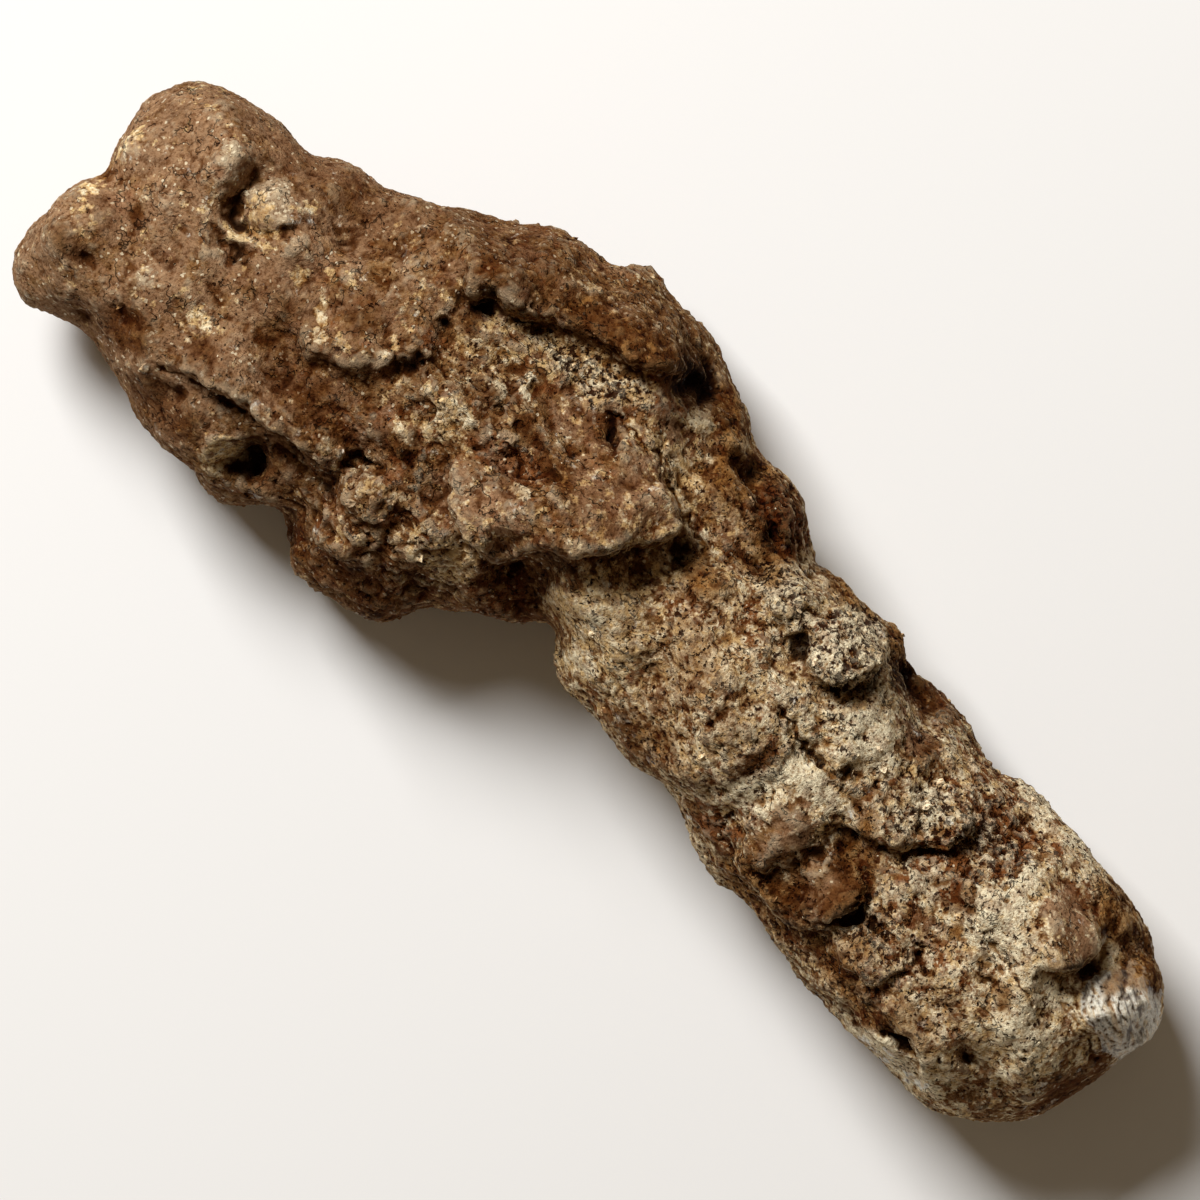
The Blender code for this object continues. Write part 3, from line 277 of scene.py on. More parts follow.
# What ovals on the upper side add to each mask, from the head to the tip, and then what others take from it:
# x, y, half length, half width, strength and, where there is one, a turn in degrees.
PATCHES = {
    "lime": [
        (-53.7, -1.2, 1.6, 2.2, 0.5), (-53.4, -5.8, 1.8, 2.2, 0.55), (-52, 6.5, 3, 2.4, 0.25),
        (-51.6, -8.4, 0.9, 0.5, 0.6, 30), (-50.6, -12.2, 0.8, 0.5, 0.3), (-47.8, -3.6, 0.5, 0.4, 0.5),
        (-46, -1.5, 1.6, 0.4, 0.5), (-41.8, 1.8, 2, 2, 0.55, 30), (-41.4, -0.7, 2.6, 0.6, 0.8, 12),
        (-40, 1, 1.2, 0.6, 0.7, 10), (-39.8, -8, 1.7, 2.2, 0.45), (-39.6, 4.3, 1.3, 0.5, 0.7),
        (-36.2, 0.1, 1.5, 0.6, 0.7, 40), (-33.4, 2.4, 1, 0.7, 0.4), (-33, -0.8, 2, 0.9, 0.8, -60),
        (-31.8, -2.6, 0.9, 0.9, 0.7), (-31.5, -15.4, 1.3, 2.2, 0.7), (-30, -1.9, 1.2, 0.8, 0.7),
        (-27.1, 2.6, 0.6, 0.5, 0.6), (-27, -0.3, 0.6, 0.4, 0.6), (-27, 6, 1.4, 0.9, 0.45),
        (-26.9, 1, 0.8, 0.6, 0.6), (-26, -9, 3, 0.8, 0.25), (-26, 8, 0.5, 0.5, 0.7),
        (-22.3, -0.1, 0.8, 0.7, 0.8), (-22, -4, 1, 0.9, 0.8), (-21, 5, 3.4, 3.6, 0.35),
        (-21, 8.2, 2.6, 1, 0.4, 20), (-20.8, -9.4, 2.2, 2, 0.3), (-20.4, -0.2, 1.6, 0.6, 0.5),
        (-20, -1.4, 2.4, 1.4, 0.3), (-19.8, -13.4, 2.6, 1.6, 0.3), (-19.8, -2.2, 2.2, 1.8, 0.4),
        (-19.2, 6.4, 1.6, 1.2, 0.5), (-18.9, 0.1, 1.6, 0.8, 0.7, 8), (-18.4, 8.4, 2, 1.6, 0.5, 20),
        (-18.2, 4, 0.35, 0.3, 2), (-18, 13.6, 2.2, 1.8, 0.3), (-16.7, 5.5, 0.8, 1, 2.5),
        (-16.2, 7.4, 1.2, 0.5, 1), (-15.8, 3.6, 0.45, 0.4, 2.5), (-14, 8.6, 2.4, 1, 0.5, 8),
        (-13.4, -9.6, 4, 2.4, 0.5), (-13.4, 10.1, 4.6, 1.9, 1.3, 10), (-12.6, -8.6, 1.6, 1, 0.7, -20),
        (-12.6, -5.2, 2.4, 1.2, 0.2), (-11.8, -8.8, 2, 1.4, 0.4), (-11.4, -1.3, 0.9, 0.6, 2, -20),
        (-11.4, 8.2, 0.8, 0.7, 0.6), (-9.8, 10.4, 2, 1.6, 0.7), (-7, 8.8, 2, 1.2, 0.35),
        (-4.2, 12.3, 1.3, 1.1, 0.7), (-3.4, -6.2, 1.6, 0.9, 0.5, -35), (-3.4, 8.4, 2.6, 1.6, 0.45),
        (-2.2, 6.8, 1.6, 0.7, 0.5, -30), (-1.4, -4.6, 1.6, 2.4, 0.5), (-0.9, 13, 1.2, 1.1, 0.9),
        (0.6, -4.8, 4, 3.4, 0.45), (1, -8.6, 2, 1.2, 0.5), (8, -1.4, 5, 3.6, 0.25), (9, 6.6, 2.4, 2.2, 0.7),
        (12, 5.4, 2, 1, 0.5), (16.2, 4.6, 1.6, 1.8, 1, 20), (16.2, 8.4, 1.8, 1.4, 0.8),
        (18, -7, 1.6, 2.2, 0.6, -30), (18.2, 7, 1.2, 1.6, 0.6), (18.8, -6.8, 1.6, 2.4, 0.7),
        (19.2, -3.8, 1.8, 1.9, 0.9), (20, -7, 1.6, 2.4, 0.4), (21, 5.4, 1, 0.8, 0.6),
        (21.6, -2.2, 2, 0.8, 0.4), (22, 2.2, 3.4, 2, 0.6), (22.6, -3.8, 2.8, 1.4, 0.5),
        (22.6, 1.6, 2.6, 3.4, 0.5), (22.8, 1.4, 3.2, 3.2, 0.4), (26.2, -5, 1.6, 1.2, 0.5),
        (26.6, -3.2, 2.2, 1.6, 0.4), (28.6, 5.6, 2.6, 0.8, 0.4, -10), (29.6, -0.4, 2, 1.8, 0.4),
        (29.8, 1.6, 2.6, 1.4, 0.6), (32, -6.4, 2, 1.2, 0.5), (33, -14.9, 2.4, 0.8, 0.5),
        (33, -11.4, 2.4, 1.4, 0.25), (33.4, -3.6, 1.6, 1.6, 0.5), (34.6, 2, 2.6, 2.8, 0.5),
        (36, 7.2, 3.4, 0.9, 0.8), (36.6, -4.6, 2.8, 1.4, 0.5), (39.2, -2.4, 2.6, 3.4, 0.6),
        (39.6, -11.6, 3, 1.8, 0.3), (39.8, 1.4, 2, 2.2, 0.7), (40, -16, 6.4, 0.9, 0.9, -5),
        (40.2, -4.2, 3.2, 2, 0.5), (40.4, -2.4, 4, 3, 0.6), (40.6, 6.6, 3, 1.3, 0.8, -12),
        (43.4, -14.6, 2.6, 1.4, 0.5), (46.4, -7.4, 3.6, 2.2, 0.5), (46.4, -4, 2.6, 1.2, 0.6, -10),
        (47.9, 4.6, 1.2, 1, 0.5), (48.3, 1, 1.2, 1.4, 0.5), (48.4, -10.4, 4, 3.6, 0.5),
        (48.6, 1.6, 1.3, 1.1, 0.6),
        (2.6, 6.6, 3.2, 1.8, -0.25), (4.6, 11.4, 3.6, 2.4, -0.7), (6, -0.6, 6, 3.6, -0.2),
        (8, -10.6, 6, 1.2, -0.3), (9, 2.4, 3.4, 1.6, -0.2), (11, -3.6, 4, 3.4, -0.15),
        (17.2, -5, 1.2, 2.6, -0.6, -30), (18, -11.6, 3.4, 1.6, -0.6), (22.4, -8.6, 3.2, 3.6, -0.8),
        (22.6, 7.4, 4, 1.8, -0.7, -10), (26, 4.4, 3, 1.6, -0.35), (27.6, -9.2, 3, 3.6, -0.7),
        (34.4, -1.6, 2.4, 2, -0.2), (35.4, 2.6, 3.8, 3.6, -0.35), (43.8, 1.6, 4.2, 2.2, -0.4, -35),
        (48, 4.6, 4.6, 2, -0.3, -15), (48.6, -12, 5, 3.6, -0.4), (53.4, -9, 1.8, 5, -0.5),
    ],
    "white": [
        (-33, -0.8, 2, 0.9, 0.5, -60), (-31.8, -2.6, 0.9, 0.9, 0.6), (-22.3, -0.1, 0.6, 0.5, 0.8),
        (-18.7, 0.1, 1.2, 0.6, 0.6, 8), (-18.2, 4, 0.5, 0.45, 2.5), (-16.7, 5.5, 0.9, 1.1, 2.5),
        (-15.8, 3.6, 0.45, 0.4, 2.5), (-13.6, 9.2, 3.4, 1.4, 0.4, 8), (-11.4, -1.3, 0.9, 0.6, 2, -20),
        (-4.2, 12.3, 1.2, 1, 0.7), (-0.9, 13, 1.2, 1.1, 0.8), (0, -5.2, 2.6, 2, 0.4), (1, -8.4, 1.6, 1, 0.5),
        (8.6, 6.4, 2.6, 2, 0.8), (16.2, 4.6, 1.4, 1.6, 1.2, 20), (16.2, 8.4, 1.8, 1.4, 1),
        (16.4, 6.4, 3, 3.4, 0.3), (17.8, -7, 1.8, 2.6, 0.9, -30), (18.8, -6.8, 1.6, 2.4, 0.6),
        (19.4, -3.6, 1.7, 1.7, 1), (22.2, -3.8, 2.8, 1.4, 0.6), (22.4, 2, 3, 1.8, 0.6),
        (22.8, 1.4, 3, 3, 0.5), (29.6, -0.2, 2, 2, 0.4), (29.8, 1.4, 2.4, 1.4, 0.6),
        (33.4, -3.6, 1.6, 1.6, 0.4), (34.4, 2.2, 2, 2.2, 0.4), (36.4, 7.2, 3.4, 0.9, 0.8),
        (39.6, -2.8, 3, 3.4, 0.6), (39.6, 0.2, 2.2, 3.4, 0.8), (40, -16, 6.4, 0.9, 0.9, -5),
        (40.6, 6.6, 3, 1.2, 0.6, -12), (41, -3, 3, 2.2, 0.5), (46.4, -4, 2.6, 1.2, 0.5, -10),
        (46.6, -7.6, 3.4, 2.2, 0.6), (48.3, 1, 1.2, 1.4, 0.5),
    ],
    # painted shade where shadows fall, with darker soil
    "dark": [
        (-53, -10.4, 1.8, 1.8, 0.5), (-52, 3.4, 1.8, 1.8, 0.4), (-51.4, -6.4, 1.8, 2.2, 0.5),
        (-50.6, -10.4, 3, 1.8, 0.5), (-49, 7, 6, 1.6, 0.4), (-44.6, -10.6, 4, 2.2, 0.4),
        (-44, -12.6, 4.2, 2.2, 0.8), (-43.4, -12.4, 3.2, 1.8, 0.4), (-42.6, 5.6, 1.8, 1, 0.5),
        (-41.6, 1.5, 1.6, 0.8, 0.6), (-41.2, 2.6, 2, 1.2, 0.3), (-40, 7.4, 5, 3, 0.5),
        (-38.2, -9, 1.8, 1.4, 0.5), (-37.6, -14.8, 3.6, 2.6, 0.7), (-37, -10.4, 4, 2.4, 0.5),
        (-37, -2.4, 3, 1.6, 0.4), (-35.4, -2.4, 2.4, 1.4, 0.4), (-34.8, -15, 1.8, 2.6, 0.6),
        (-33.6, 8.4, 5, 3, 0.5, 10), (-30.6, -3.4, 6.4, 4, 0.4), (-30.6, 1, 3.4, 2.2, 0.6),
        (-30, 11, 3.4, 3, 0.4), (-29, -7.4, 4.4, 2.4, 0.5, 10), (-28.2, -9.8, 4.6, 1.2, 0.5),
        (-27.8, -12.8, 2, 1.6, 0.5), (-27.6, -15, 1.8, 2, 0.6), (-26.6, -12.2, 4.4, 1.8, 0.4),
        (-25.6, -7.4, 2.4, 1.2, 0.6, 20), (-25.6, 9.6, 2.4, 3, 0.5), (-25.2, 1.6, 1.4, 1.4, 0.4),
        (-24, 0.8, 1.2, 1.6, 0.5), (-23.6, -16, 2, 2, 0.6), (-23.6, 6.6, 1.6, 1.4, 0.8),
        (-23.6, 12.6, 5.6, 4.4, 0.5), (-22.2, -16.2, 1.2, 1.6, 0.8), (-22, -5.2, 3, 1.2, 0.6),
        (-20.2, -9.2, 1.2, 1.6, 0.5), (-20.2, -5.4, 1.8, 0.9, 0.5), (-18.4, -16.2, 5.6, 2, 0.6),
        (-18.3, 3.1, 1, 0.6, 0.6), (-17, 12, 3.4, 1, 0.5, 20), (-14, -6, 1.6, 1, 0.3, -20),
        (-14, 2.7, 5.2, 0.8, 0.7, -5), (-13.6, -15, 2.4, 2.2, 0.5), (-13, 13.1, 7, 1.5, 1, 8),
        (-12, -1.8, 1.8, 1.2, 0.5), (-12, 14.6, 8, 3.4, 0.4, 5), (-11.4, 1.6, 2.4, 1.6, 0.5),
        (-10.6, 6.6, 1.6, 1.2, 0.6), (-10.4, 1.4, 2.2, 1.3, 1), (-10.4, 2.2, 1.4, 1.2, 0.5),
        (-9.6, 7.2, 2.2, 1.2, 0.7, -50), (-7, -3, 2.4, 1, 0.5, 10), (-6.6, -7.4, 4.2, 3.4, 0.7),
        (-6, 2.4, 5, 3.4, 0.4, 20), (-6, 14.6, 3.2, 3, 0.6), (-4, 0.6, 1.6, 1.4, 0.4),
        (-2.8, 14, 1.8, 3, 1, 30), (-0.6, 11.2, 2.8, 1.4, 0.7, -10), (0.6, 9.2, 3.2, 1.7, 0.7, -20),
        (0.8, 11.2, 2.6, 2.2, 0.9, -30), (1.6, -4, 1.6, 2.2, 0.3), (1.8, 12.4, 2.4, 1.6, 0.6),
        (3.8, 3.2, 2, 1.6, 0.6), (4.4, 2.6, 2.6, 1.6, 0.4), (4.6, 11.4, 3.8, 2.8, 0.8),
        (5, -0.6, 1.4, 1.2, 0.6), (6.4, 6.6, 3.4, 2.4, 0.5, -20), (7.4, -4.6, 4.4, 5, 0.3),
        (7.6, 7.4, 2.6, 3, 0.7), (9, -2.4, 5, 4, 0.35, -30), (9.4, -10.2, 7, 2, 0.6),
        (10.4, -8.4, 3, 1.6, 0.4), (13.4, -4.2, 1.6, 1.6, 0.5), (14, 10, 6.5, 1.2, 0.9),
        (15.4, 9.6, 5, 1.2, 0.5), (17, -5, 1.2, 2.6, 0.5, -30), (18.8, 9.8, 2.2, 1.1, 0.8),
        (19.6, 9.6, 2.8, 1, 1, -12), (20.8, 8.8, 3, 1.2, 0.8, -12), (22, -12.6, 2.8, 2, 0.6),
        (22, 7.6, 3.4, 1.8, 1, -12), (26, -13.6, 9, 2.2, 0.8), (26, 4.4, 1.6, 1, 0.6, -20),
        (26.4, -10.8, 2.6, 0.8, 0.5, 5), (26.6, -3.2, 2.2, 1.6, 0.3), (26.6, -2.8, 1.6, 1.4, 0.5),
        (27, 4.6, 1.6, 1.2, 0.4), (28.6, -9.2, 2.4, 2.6, 0.3), (28.6, -6.8, 2.2, 2.4, 0.5),
        (28.8, -6.6, 2.4, 3.6, 0.8), (29, -9.8, 1.6, 1.8, 0.8), (32.8, -11.2, 2, 1.2, 0.7),
        (33, -13.6, 4, 1.6, 0.7), (36.2, -3.2, 1.4, 1.6, 0.8), (36.6, -15.4, 4.6, 0.8, 0.6),
        (38.6, -9.6, 2.2, 1.4, 0.5), (38.8, -13.2, 5, 1.8, 0.7), (41.6, -10, 1.6, 1.2, 0.6),
        (44.2, -6.6, 1.4, 1.2, 0.4), (44.2, -6.4, 1.4, 1.2, 0.5), (44.6, 2.6, 1.6, 2, 0.3),
        (45.4, -1.6, 1.4, 1, 0.5), (45.4, 4.4, 2.4, 1.6, 0.6, -20), (47.4, -0.4, 1.4, 2.2, 0.4),
        (47.6, 4.6, 5.6, 2.4, 0.9, -20), (50.2, 0.2, 1.4, 2, 0.7), (50.6, 0.8, 1.4, 1.6, 0.8, -20),
        (50.8, 1.4, 1.4, 1.2, 0.7, -20), (52.6, 3.2, 2.6, 1.8, 1, -20), (53.8, -9, 1.8, 5.4, 0.8),
        (-32, -0.6, 1.6, 1, -0.4),
    ],
    "rust": [
        (-51, -4.4, 1.6, 2.6, 0.3), (-47.2, -9.4, 0.9, 0.8, 0.4), (-46.6, 2.1, 0.8, 0.7, 0.7),
        (-31, 2.4, 4, 1.8, 0.25), (-28.8, -0.6, 0.8, 0.5, 0.6), (-25.4, 3.4, 0.8, 1.2, 0.5),
        (-22.4, -1.8, 1.8, 0.8, 0.4), (-22, 10.4, 3, 1.2, 0.3, 20), (-16.4, -0.9, 1.6, 0.7, 0.7, 40),
        (-14, -8, 1, 1.4, 0.4), (-12.8, 0.6, 3.4, 1.6, 0.7), (-7.6, 11.8, 1.8, 1.2, 0.5),
        (-6.5, -8, 3.4, 2.6, 0.4), (4, 0, 3.6, 2, 0.2), (4.8, 11.6, 3, 2, 0.4), (13.4, 6, 1.6, 1.2, 0.4),
        (16.8, -4.4, 1, 2.2, 0.1, -25), (18, -11.2, 2.4, 1, 0.5), (19.4, -9.2, 1.2, 0.8, 0.7),
        (33.4, -1.6, 2.4, 2.4, 0.3), (35.2, 3, 3.8, 3.4, 0.25), (36.6, -3, 1.3, 1.5, 0.7),
        (42, 3.2, 2.4, 1.2, 0.3),
        (-13, 14, 9, 3.4, -0.4, 5), (25.4, -8.6, 6, 4.2, -0.6), (26.4, 4.2, 3, 2, -0.4, -20),
        (48.4, 4.4, 6, 2.4, -0.5, -20),
    ],
    "dust": [
        (-50.5, 2, 4, 5, 0.2), (-12.4, -4.4, 4.4, 2.6, 0.8), (-12, 6.4, 3, 2.2, 0.6),
        (-5.6, 3, 5.6, 4.6, 0.7, 30), (-3, 9.6, 4, 2, 0.4, -20), (4, 7.4, 3.2, 1.8, 0.5),
        (22.6, -8, 3.2, 3.8, 0.9), (24.8, 4.6, 2.8, 2, 0.9), (28, -8.8, 2.8, 3, 0.7),
        (37.4, -7, 4, 2.4, 0.3), (38.6, -12.4, 3.6, 1.6, 0.3), (43.8, 1.4, 4.8, 2.6, 0.8, -35),
        (46, -10, 3.4, 1.4, 0.4), (48.8, -5.4, 2.6, 1.4, 0.4, -20),
    ],
    "grey": [
        (-48, 0.6, 0.6, 1.6, 0.5, 15), (-47, 3.8, 1.2, 1.2, 0.9), (-45.6, -8, 1.2, 0.8, 0.5),
        (-42, 3.2, 2.4, 1.8, 2, 20), (-39.8, -8, 1.8, 2.2, 0.7), (-28.6, 11, 2, 2.4, 0.4),
        (-17.6, 14, 2.4, 1.4, 0.5, -10), (-15, -4.6, 0.9, 0.9, 0.7), (-11.2, 7.8, 0.8, 0.8, 0.6),
        (-10.6, 15.8, 3.4, 1.4, 0.3), (-6.4, 1.6, 1, 0.9, 0.5), (-1.6, 4.8, 1.6, 0.9, 0.5, -20),
        (54, -0.2, 1.6, 1.6, 0.6),
    ],
    "glass": [
        (40, -16.4, 5.5, 0.7, 0.7), (52, -1.9, 5.4, 3.2, 2.2, -30),
    ],
    "rough": [
        (-20, -10, 12, 6, 0.3), (-20, 2, 5, 5, 0.3), (-13, 0.6, 3.4, 1.8, 0.3), (-13, 10, 6, 2.2, 0.5, 8),
        (4, 9, 5, 3.5, 0.3), (13, 6.5, 7, 4.5, 0.4), (29, 1, 4, 3.4, 0.3), (35.4, 2, 4, 4, 0.3),
        (-53.6, -3.4, 2, 4.6, -0.2), (-41.8, 2.6, 2.4, 2.4, -0.3, 20), (-12.4, -4.6, 4, 2.4, -0.45),
        (-12, 6, 2.6, 1.8, -0.4), (-5.6, 2.6, 5.4, 4.4, -0.45, 30), (19.4, -3.6, 1.4, 1.4, -0.5),
        (22.4, -8, 3, 3.4, -0.5), (24, 4.8, 2, 2, -0.3), (28, -8.8, 2.4, 2.2, -0.4),
        (40, -16.2, 6, 0.9, -0.4, -5), (44.2, 1, 3, 3.4, -0.45), (51.4, -1.6, 4.8, 4, -0.7, -30),
    ],
    "porous": [
        (-20, -9, 10, 4, 0.2), (-20, 3, 5, 4, 0.2), (-13, 0.6, 3.6, 1.8, 0.4), (-13, 9.8, 6.4, 2.4, 0.7, 8),
        (5.4, 10.6, 3.4, 3, 0.4), (9, 6.4, 3.2, 2.6, 0.6), (12.6, 5.6, 2.6, 1.6, 0.4),
        (16.6, 6.4, 3.2, 4, 0.6), (20.6, 1.6, 3.6, 2.2, 0.3), (29.4, 0.4, 3, 3, 0.3), (34, -9, 5, 4, 0.2),
        (35, 2.6, 4.6, 4.4, 0.5),
        (-41.8, 2.6, 2.4, 2.4, -0.3, 20), (-12.4, -4.6, 4, 2.4, -0.25), (-12, 6, 2.6, 1.8, -0.2),
        (-5.6, 2.6, 5.4, 4.4, -0.25, 30), (19.4, -3.8, 1.6, 1.6, -0.6), (22, -4, 3, 1.6, -0.3),
        (22.4, -8, 3, 3.4, -0.35), (22.4, 2, 3.6, 3, -0.4), (28, -8.8, 2.4, 2.2, -0.3),
        (40, -16.2, 6, 0.9, -0.3, -5), (44.2, 1, 3, 3.4, -0.45), (51.4, -1.6, 4.8, 4, -0.9, -30),
    ],
    # painted shade in the hollows and where shadows fall
    "hollow": [
        (-44.1, 1.2, 0.35, 1.6, 0.4, -8), (-42.6, 0, 1.8, 0.35, 0.7, 8), (-40.4, -2.1, 1.1, 0.5, 0.5),
        (-39.4, 2.2, 0.5, 0.5, 0.7), (-29.4, -13.4, 1.3, 2.6, 0.9), (-25.4, 7, 1.2, 0.4, 0.7),
        (-25.1, 4.7, 0.7, 0.4, 0.9), (-24.8, 1, 1.6, 0.6, 0.8, 65), (-23.7, 8.3, 0.9, 1.6, 0.9),
        (-23.4, -11.4, 1.8, 0.45, 1), (-21, 8.9, 1.8, 0.3, 0.3, 25), (-20.4, -5.2, 1.2, 0.5, 0.6, -10),
        (-16.3, -0.9, 1.2, 0.4, 0.5, 42), (-12.6, -11.4, 1.2, 0.8, 0.3), (-10.3, 1.5, 0.8, 0.5, 0.6),
        (-9, 6.9, 1.5, 0.6, 0.7, -50), (-6.5, 14.7, 2.2, 2.4, 1), (-4.6, -3.4, 3.4, 0.8, 0.6, 15),
        (-1.4, 1.4, 0.8, 3.4, 0.5, -38), (1.4, 3.3, 1.6, 1.2, 0.7), (1.4, 11.9, 1.6, 0.9, 0.7, -30),
        (6, 8.7, 1, 0.6, 0.8), (13.3, 4, 1.4, 0.9, 0.9, -25), (18.4, 3.6, 2.2, 0.7, 0.9, 32),
        (19.7, 6.2, 0.6, 2.6, 0.8, 5), (21.2, 7.6, 2.2, 1.4, 0.9, -12), (22.8, -1.4, 0.4, 1, 0.6, 20),
        (30.4, -8.8, 0.45, 2.4, 0.5, -10), (31.6, -1.4, 1.2, 0.3, 0.5, 45), (32.6, -9.1, 1.1, 0.4, 0.7),
        (33.2, 1.6, 0.4, 0.9, 0.2), (36, -14.1, 1.6, 0.35, 0.6), (40, -14.7, 1.8, 0.4, 0.6, -8),
        (41.4, -10.1, 1, 0.4, 0.6, -10), (45.4, -12, 1.6, 0.7, 0.5, 10), (47.3, -0.7, 0.9, 1.5, 0.9, -20),
    ],
}

ALONG_BLUR = 2.5
ALONG_SAMPLES = 5
PATCH_SOFTNESS = 0.8

WELD = 0.001  # corners of the solid's loose triangles this close are one
COARSE = (0.42, 2)  # voxel and passes of smoothing, before the ledges and knobs
FINE = (0.23, 1)  # and before the cracks and flutes
RELAXING = 0.5  # how far a pass of smoothing moves a point to its neighbours' middle
FLAT_BELOW = 0.06  # what the relief leaves lower than this is worn flat on the table
FLANK_TO_CROWN = (0.0, 0.35)  # the upward part of the normal where the flank ends and the crown begins

# Painted shade lies where a point is lower than the surface smoothed by so many passes, and wear where it is
# higher. Each pair gives where the mask begins and where it is full.
HOLLOW_PASSES = 26
HOLLOW_DEPTHS = (0.25, 1.0)
EDGE_PASSES = 5
EDGE_HEIGHTS = (0.04, 0.2)
PIT_DEPTHS = (0.03, 0.16)


# ---------------------------------------------------------------- colours and nodes

def linear(code):
    """An sRGB colour such as "#7c5a3c" as linear red, green, blue and alpha."""
    channels = [int(code[i:i + 2], 16) / 255 for i in (1, 3, 5)]
    return (*(c / 12.92 if c <= 0.04045 else ((c + 0.055) / 1.055) ** 2.4 for c in channels), 1.0)


def add(tree, kind, inputs=None, out=0, **settings):
    """Adds a node with its settings, and its inputs as values or links. Returns its output socket out."""
    node = tree.nodes.new(kind)
    for name, value in settings.items():
        setattr(node, name, value)
    for key, value in (inputs or {}).items():
        if isinstance(value, bpy.types.NodeSocket):
            tree.links.new(value, node.inputs[key])
        else:
            node.inputs[key].default_value = value
    return node.outputs[out] if node.outputs else node


# The Mix node has one set of sockets for each kind of value: these are the colour ones.
FACTOR, A, B, COLOUR = 0, 6, 7, 2
RAGGEDNESS = 0.68  # roughness of the noise that bounds the patches


def cover(tree, place, share, scale, seed, lines, softness, detail=5.0):
    """1 inside ragged patches and 0 outside them. They cover more of the surface where the share is higher.

    lines are the noise values that bound the patches where the share is 0 and 1."""
    noisy = add(tree, "ShaderNodeTexNoise",
                {"Vector": place, "W": seed, "Scale": scale, "Detail": detail, "Roughness": RAGGEDNESS},
                noise_dimensions="4D")
    line = add(tree, "ShaderNodeMapRange", {"Value": share, "To Min": lines[0], "To Max": lines[1]})
    above = add(tree, "ShaderNodeMath", {0: noisy, 1: line}, operation="SUBTRACT")
    return add(tree, "ShaderNodeMapRange", {"Value": above, "From Min": -softness, "From Max": softness},
               interpolation_type="SMOOTHSTEP")


def laid_over(tree, under, colour, value, low=0.0, high=1.0, most=1.0, blend="MIX"):
    """A colour over another where a value goes from low to high, up to the share most."""
    share = add(tree, "ShaderNodeMapRange",
                {"Value": value, "From Min": low, "From Max": high, "To Max": most},
                interpolation_type="SMOOTHSTEP")
    return add(tree, "ShaderNodeMix", {FACTOR: share, A: under, B: colour}, out=COLOUR, data_type="RGBA",
               blend_type=blend)


def darkened(tree, colour, shade, value, low=0.0, high=1.0, most=1.0):
    """A colour multiplied by a shade where a value goes from low to high, up to the share most."""
    return laid_over(tree, colour, shade, value, low, high, most, "MULTIPLY")


def shaded(tree, colour, value, first, last):
    """A colour multiplied by first where a value is 0 and by last where it is 1."""
    tone = add(tree, "ShaderNodeMapRange", {"Value": value, "To Min": first, "To Max": last})
    return add(tree, "ShaderNodeVectorMath", {0: colour, "Scale": tone}, operation="SCALE")


def seam(tree, pattern, outer, inner, **settings):
    """1 along the lines where a noise crosses its middle value and 0 away from them."""
    away = add(tree, "ShaderNodeMath", {0: pattern, 1: 0.5}, operation="SUBTRACT")
    away = add(tree, "ShaderNodeMath", {0: away}, operation="ABSOLUTE")
    return add(tree, "ShaderNodeMapRange", {"Value": away, "From Min": outer, "From Max": inner}, **settings)


def stray(tree, inputs, reach, **settings):
    """An offset that wanders smoothly from place to place, up to about half the reach each way."""
    noisy = add(tree, "ShaderNodeTexNoise", inputs, out="Color", **settings)
    centred = add(tree, "ShaderNodeVectorMath", {0: noisy, 1: (0.5, 0.5, 0.5)}, operation="SUBTRACT")
    return add(tree, "ShaderNodeVectorMath", {0: centred, "Scale": reach}, operation="SCALE")


def colour_prop(name, code, description):
    return FloatVectorProperty(
        name=name, description=description, subtype="COLOR", size=4, min=0, max=1, default=linear(code))


def length_prop(name, millimetres, description):
    return FloatProperty(
        name=name, description=description, unit="LENGTH", subtype="DISTANCE", min=0,
        default=millimetres * MM, precision=5)


class FulguriteCrust(bpy.types.PropertyGroup):
    lump_size: length_prop("Lump size", 2.6, "Distance between the crust's lumps")
    lump_height: length_prop("Lump height", 3.0, "Height of the lumps, where the crust is roughest")
    nodule_size: length_prop("Nodule size", 1.15, "Width of the fused nodules")
    nodule_height: length_prop("Nodule height", 0.6, "How far a nodule stands out")
    crevice_spacing: length_prop("Crevice spacing", 5.0, "Distance between the crevices")
    crevice_depth: length_prop("Crevice depth", 0.45, "Depth of the crevices")
    grit_size: length_prop("Grit size", 0.6, "Width of the coarsest grit")
    grit_height: length_prop("Grit height", 0.2, "How far the grit stands out")
    pore_size: length_prop("Pore size", 0.95, "Width of the gas pores")
    pore_depth: length_prop("Pore depth", 0.4, "Depth of the gas pores")
    seed: IntProperty(name="Seed", description="Another seed gives other lumps and pores", default=4)


class FulguriteGrains(bpy.types.PropertyGroup):
    grain_size: length_prop("Grain size", 0.27, "Mean width of the sand grains on the crust")
    crumb_size: length_prop("Crumb size", 0.7, "Mean width of the clumps of fused grains")
    seed: IntProperty(name="Seed", description="Another seed places other grains", default=7)


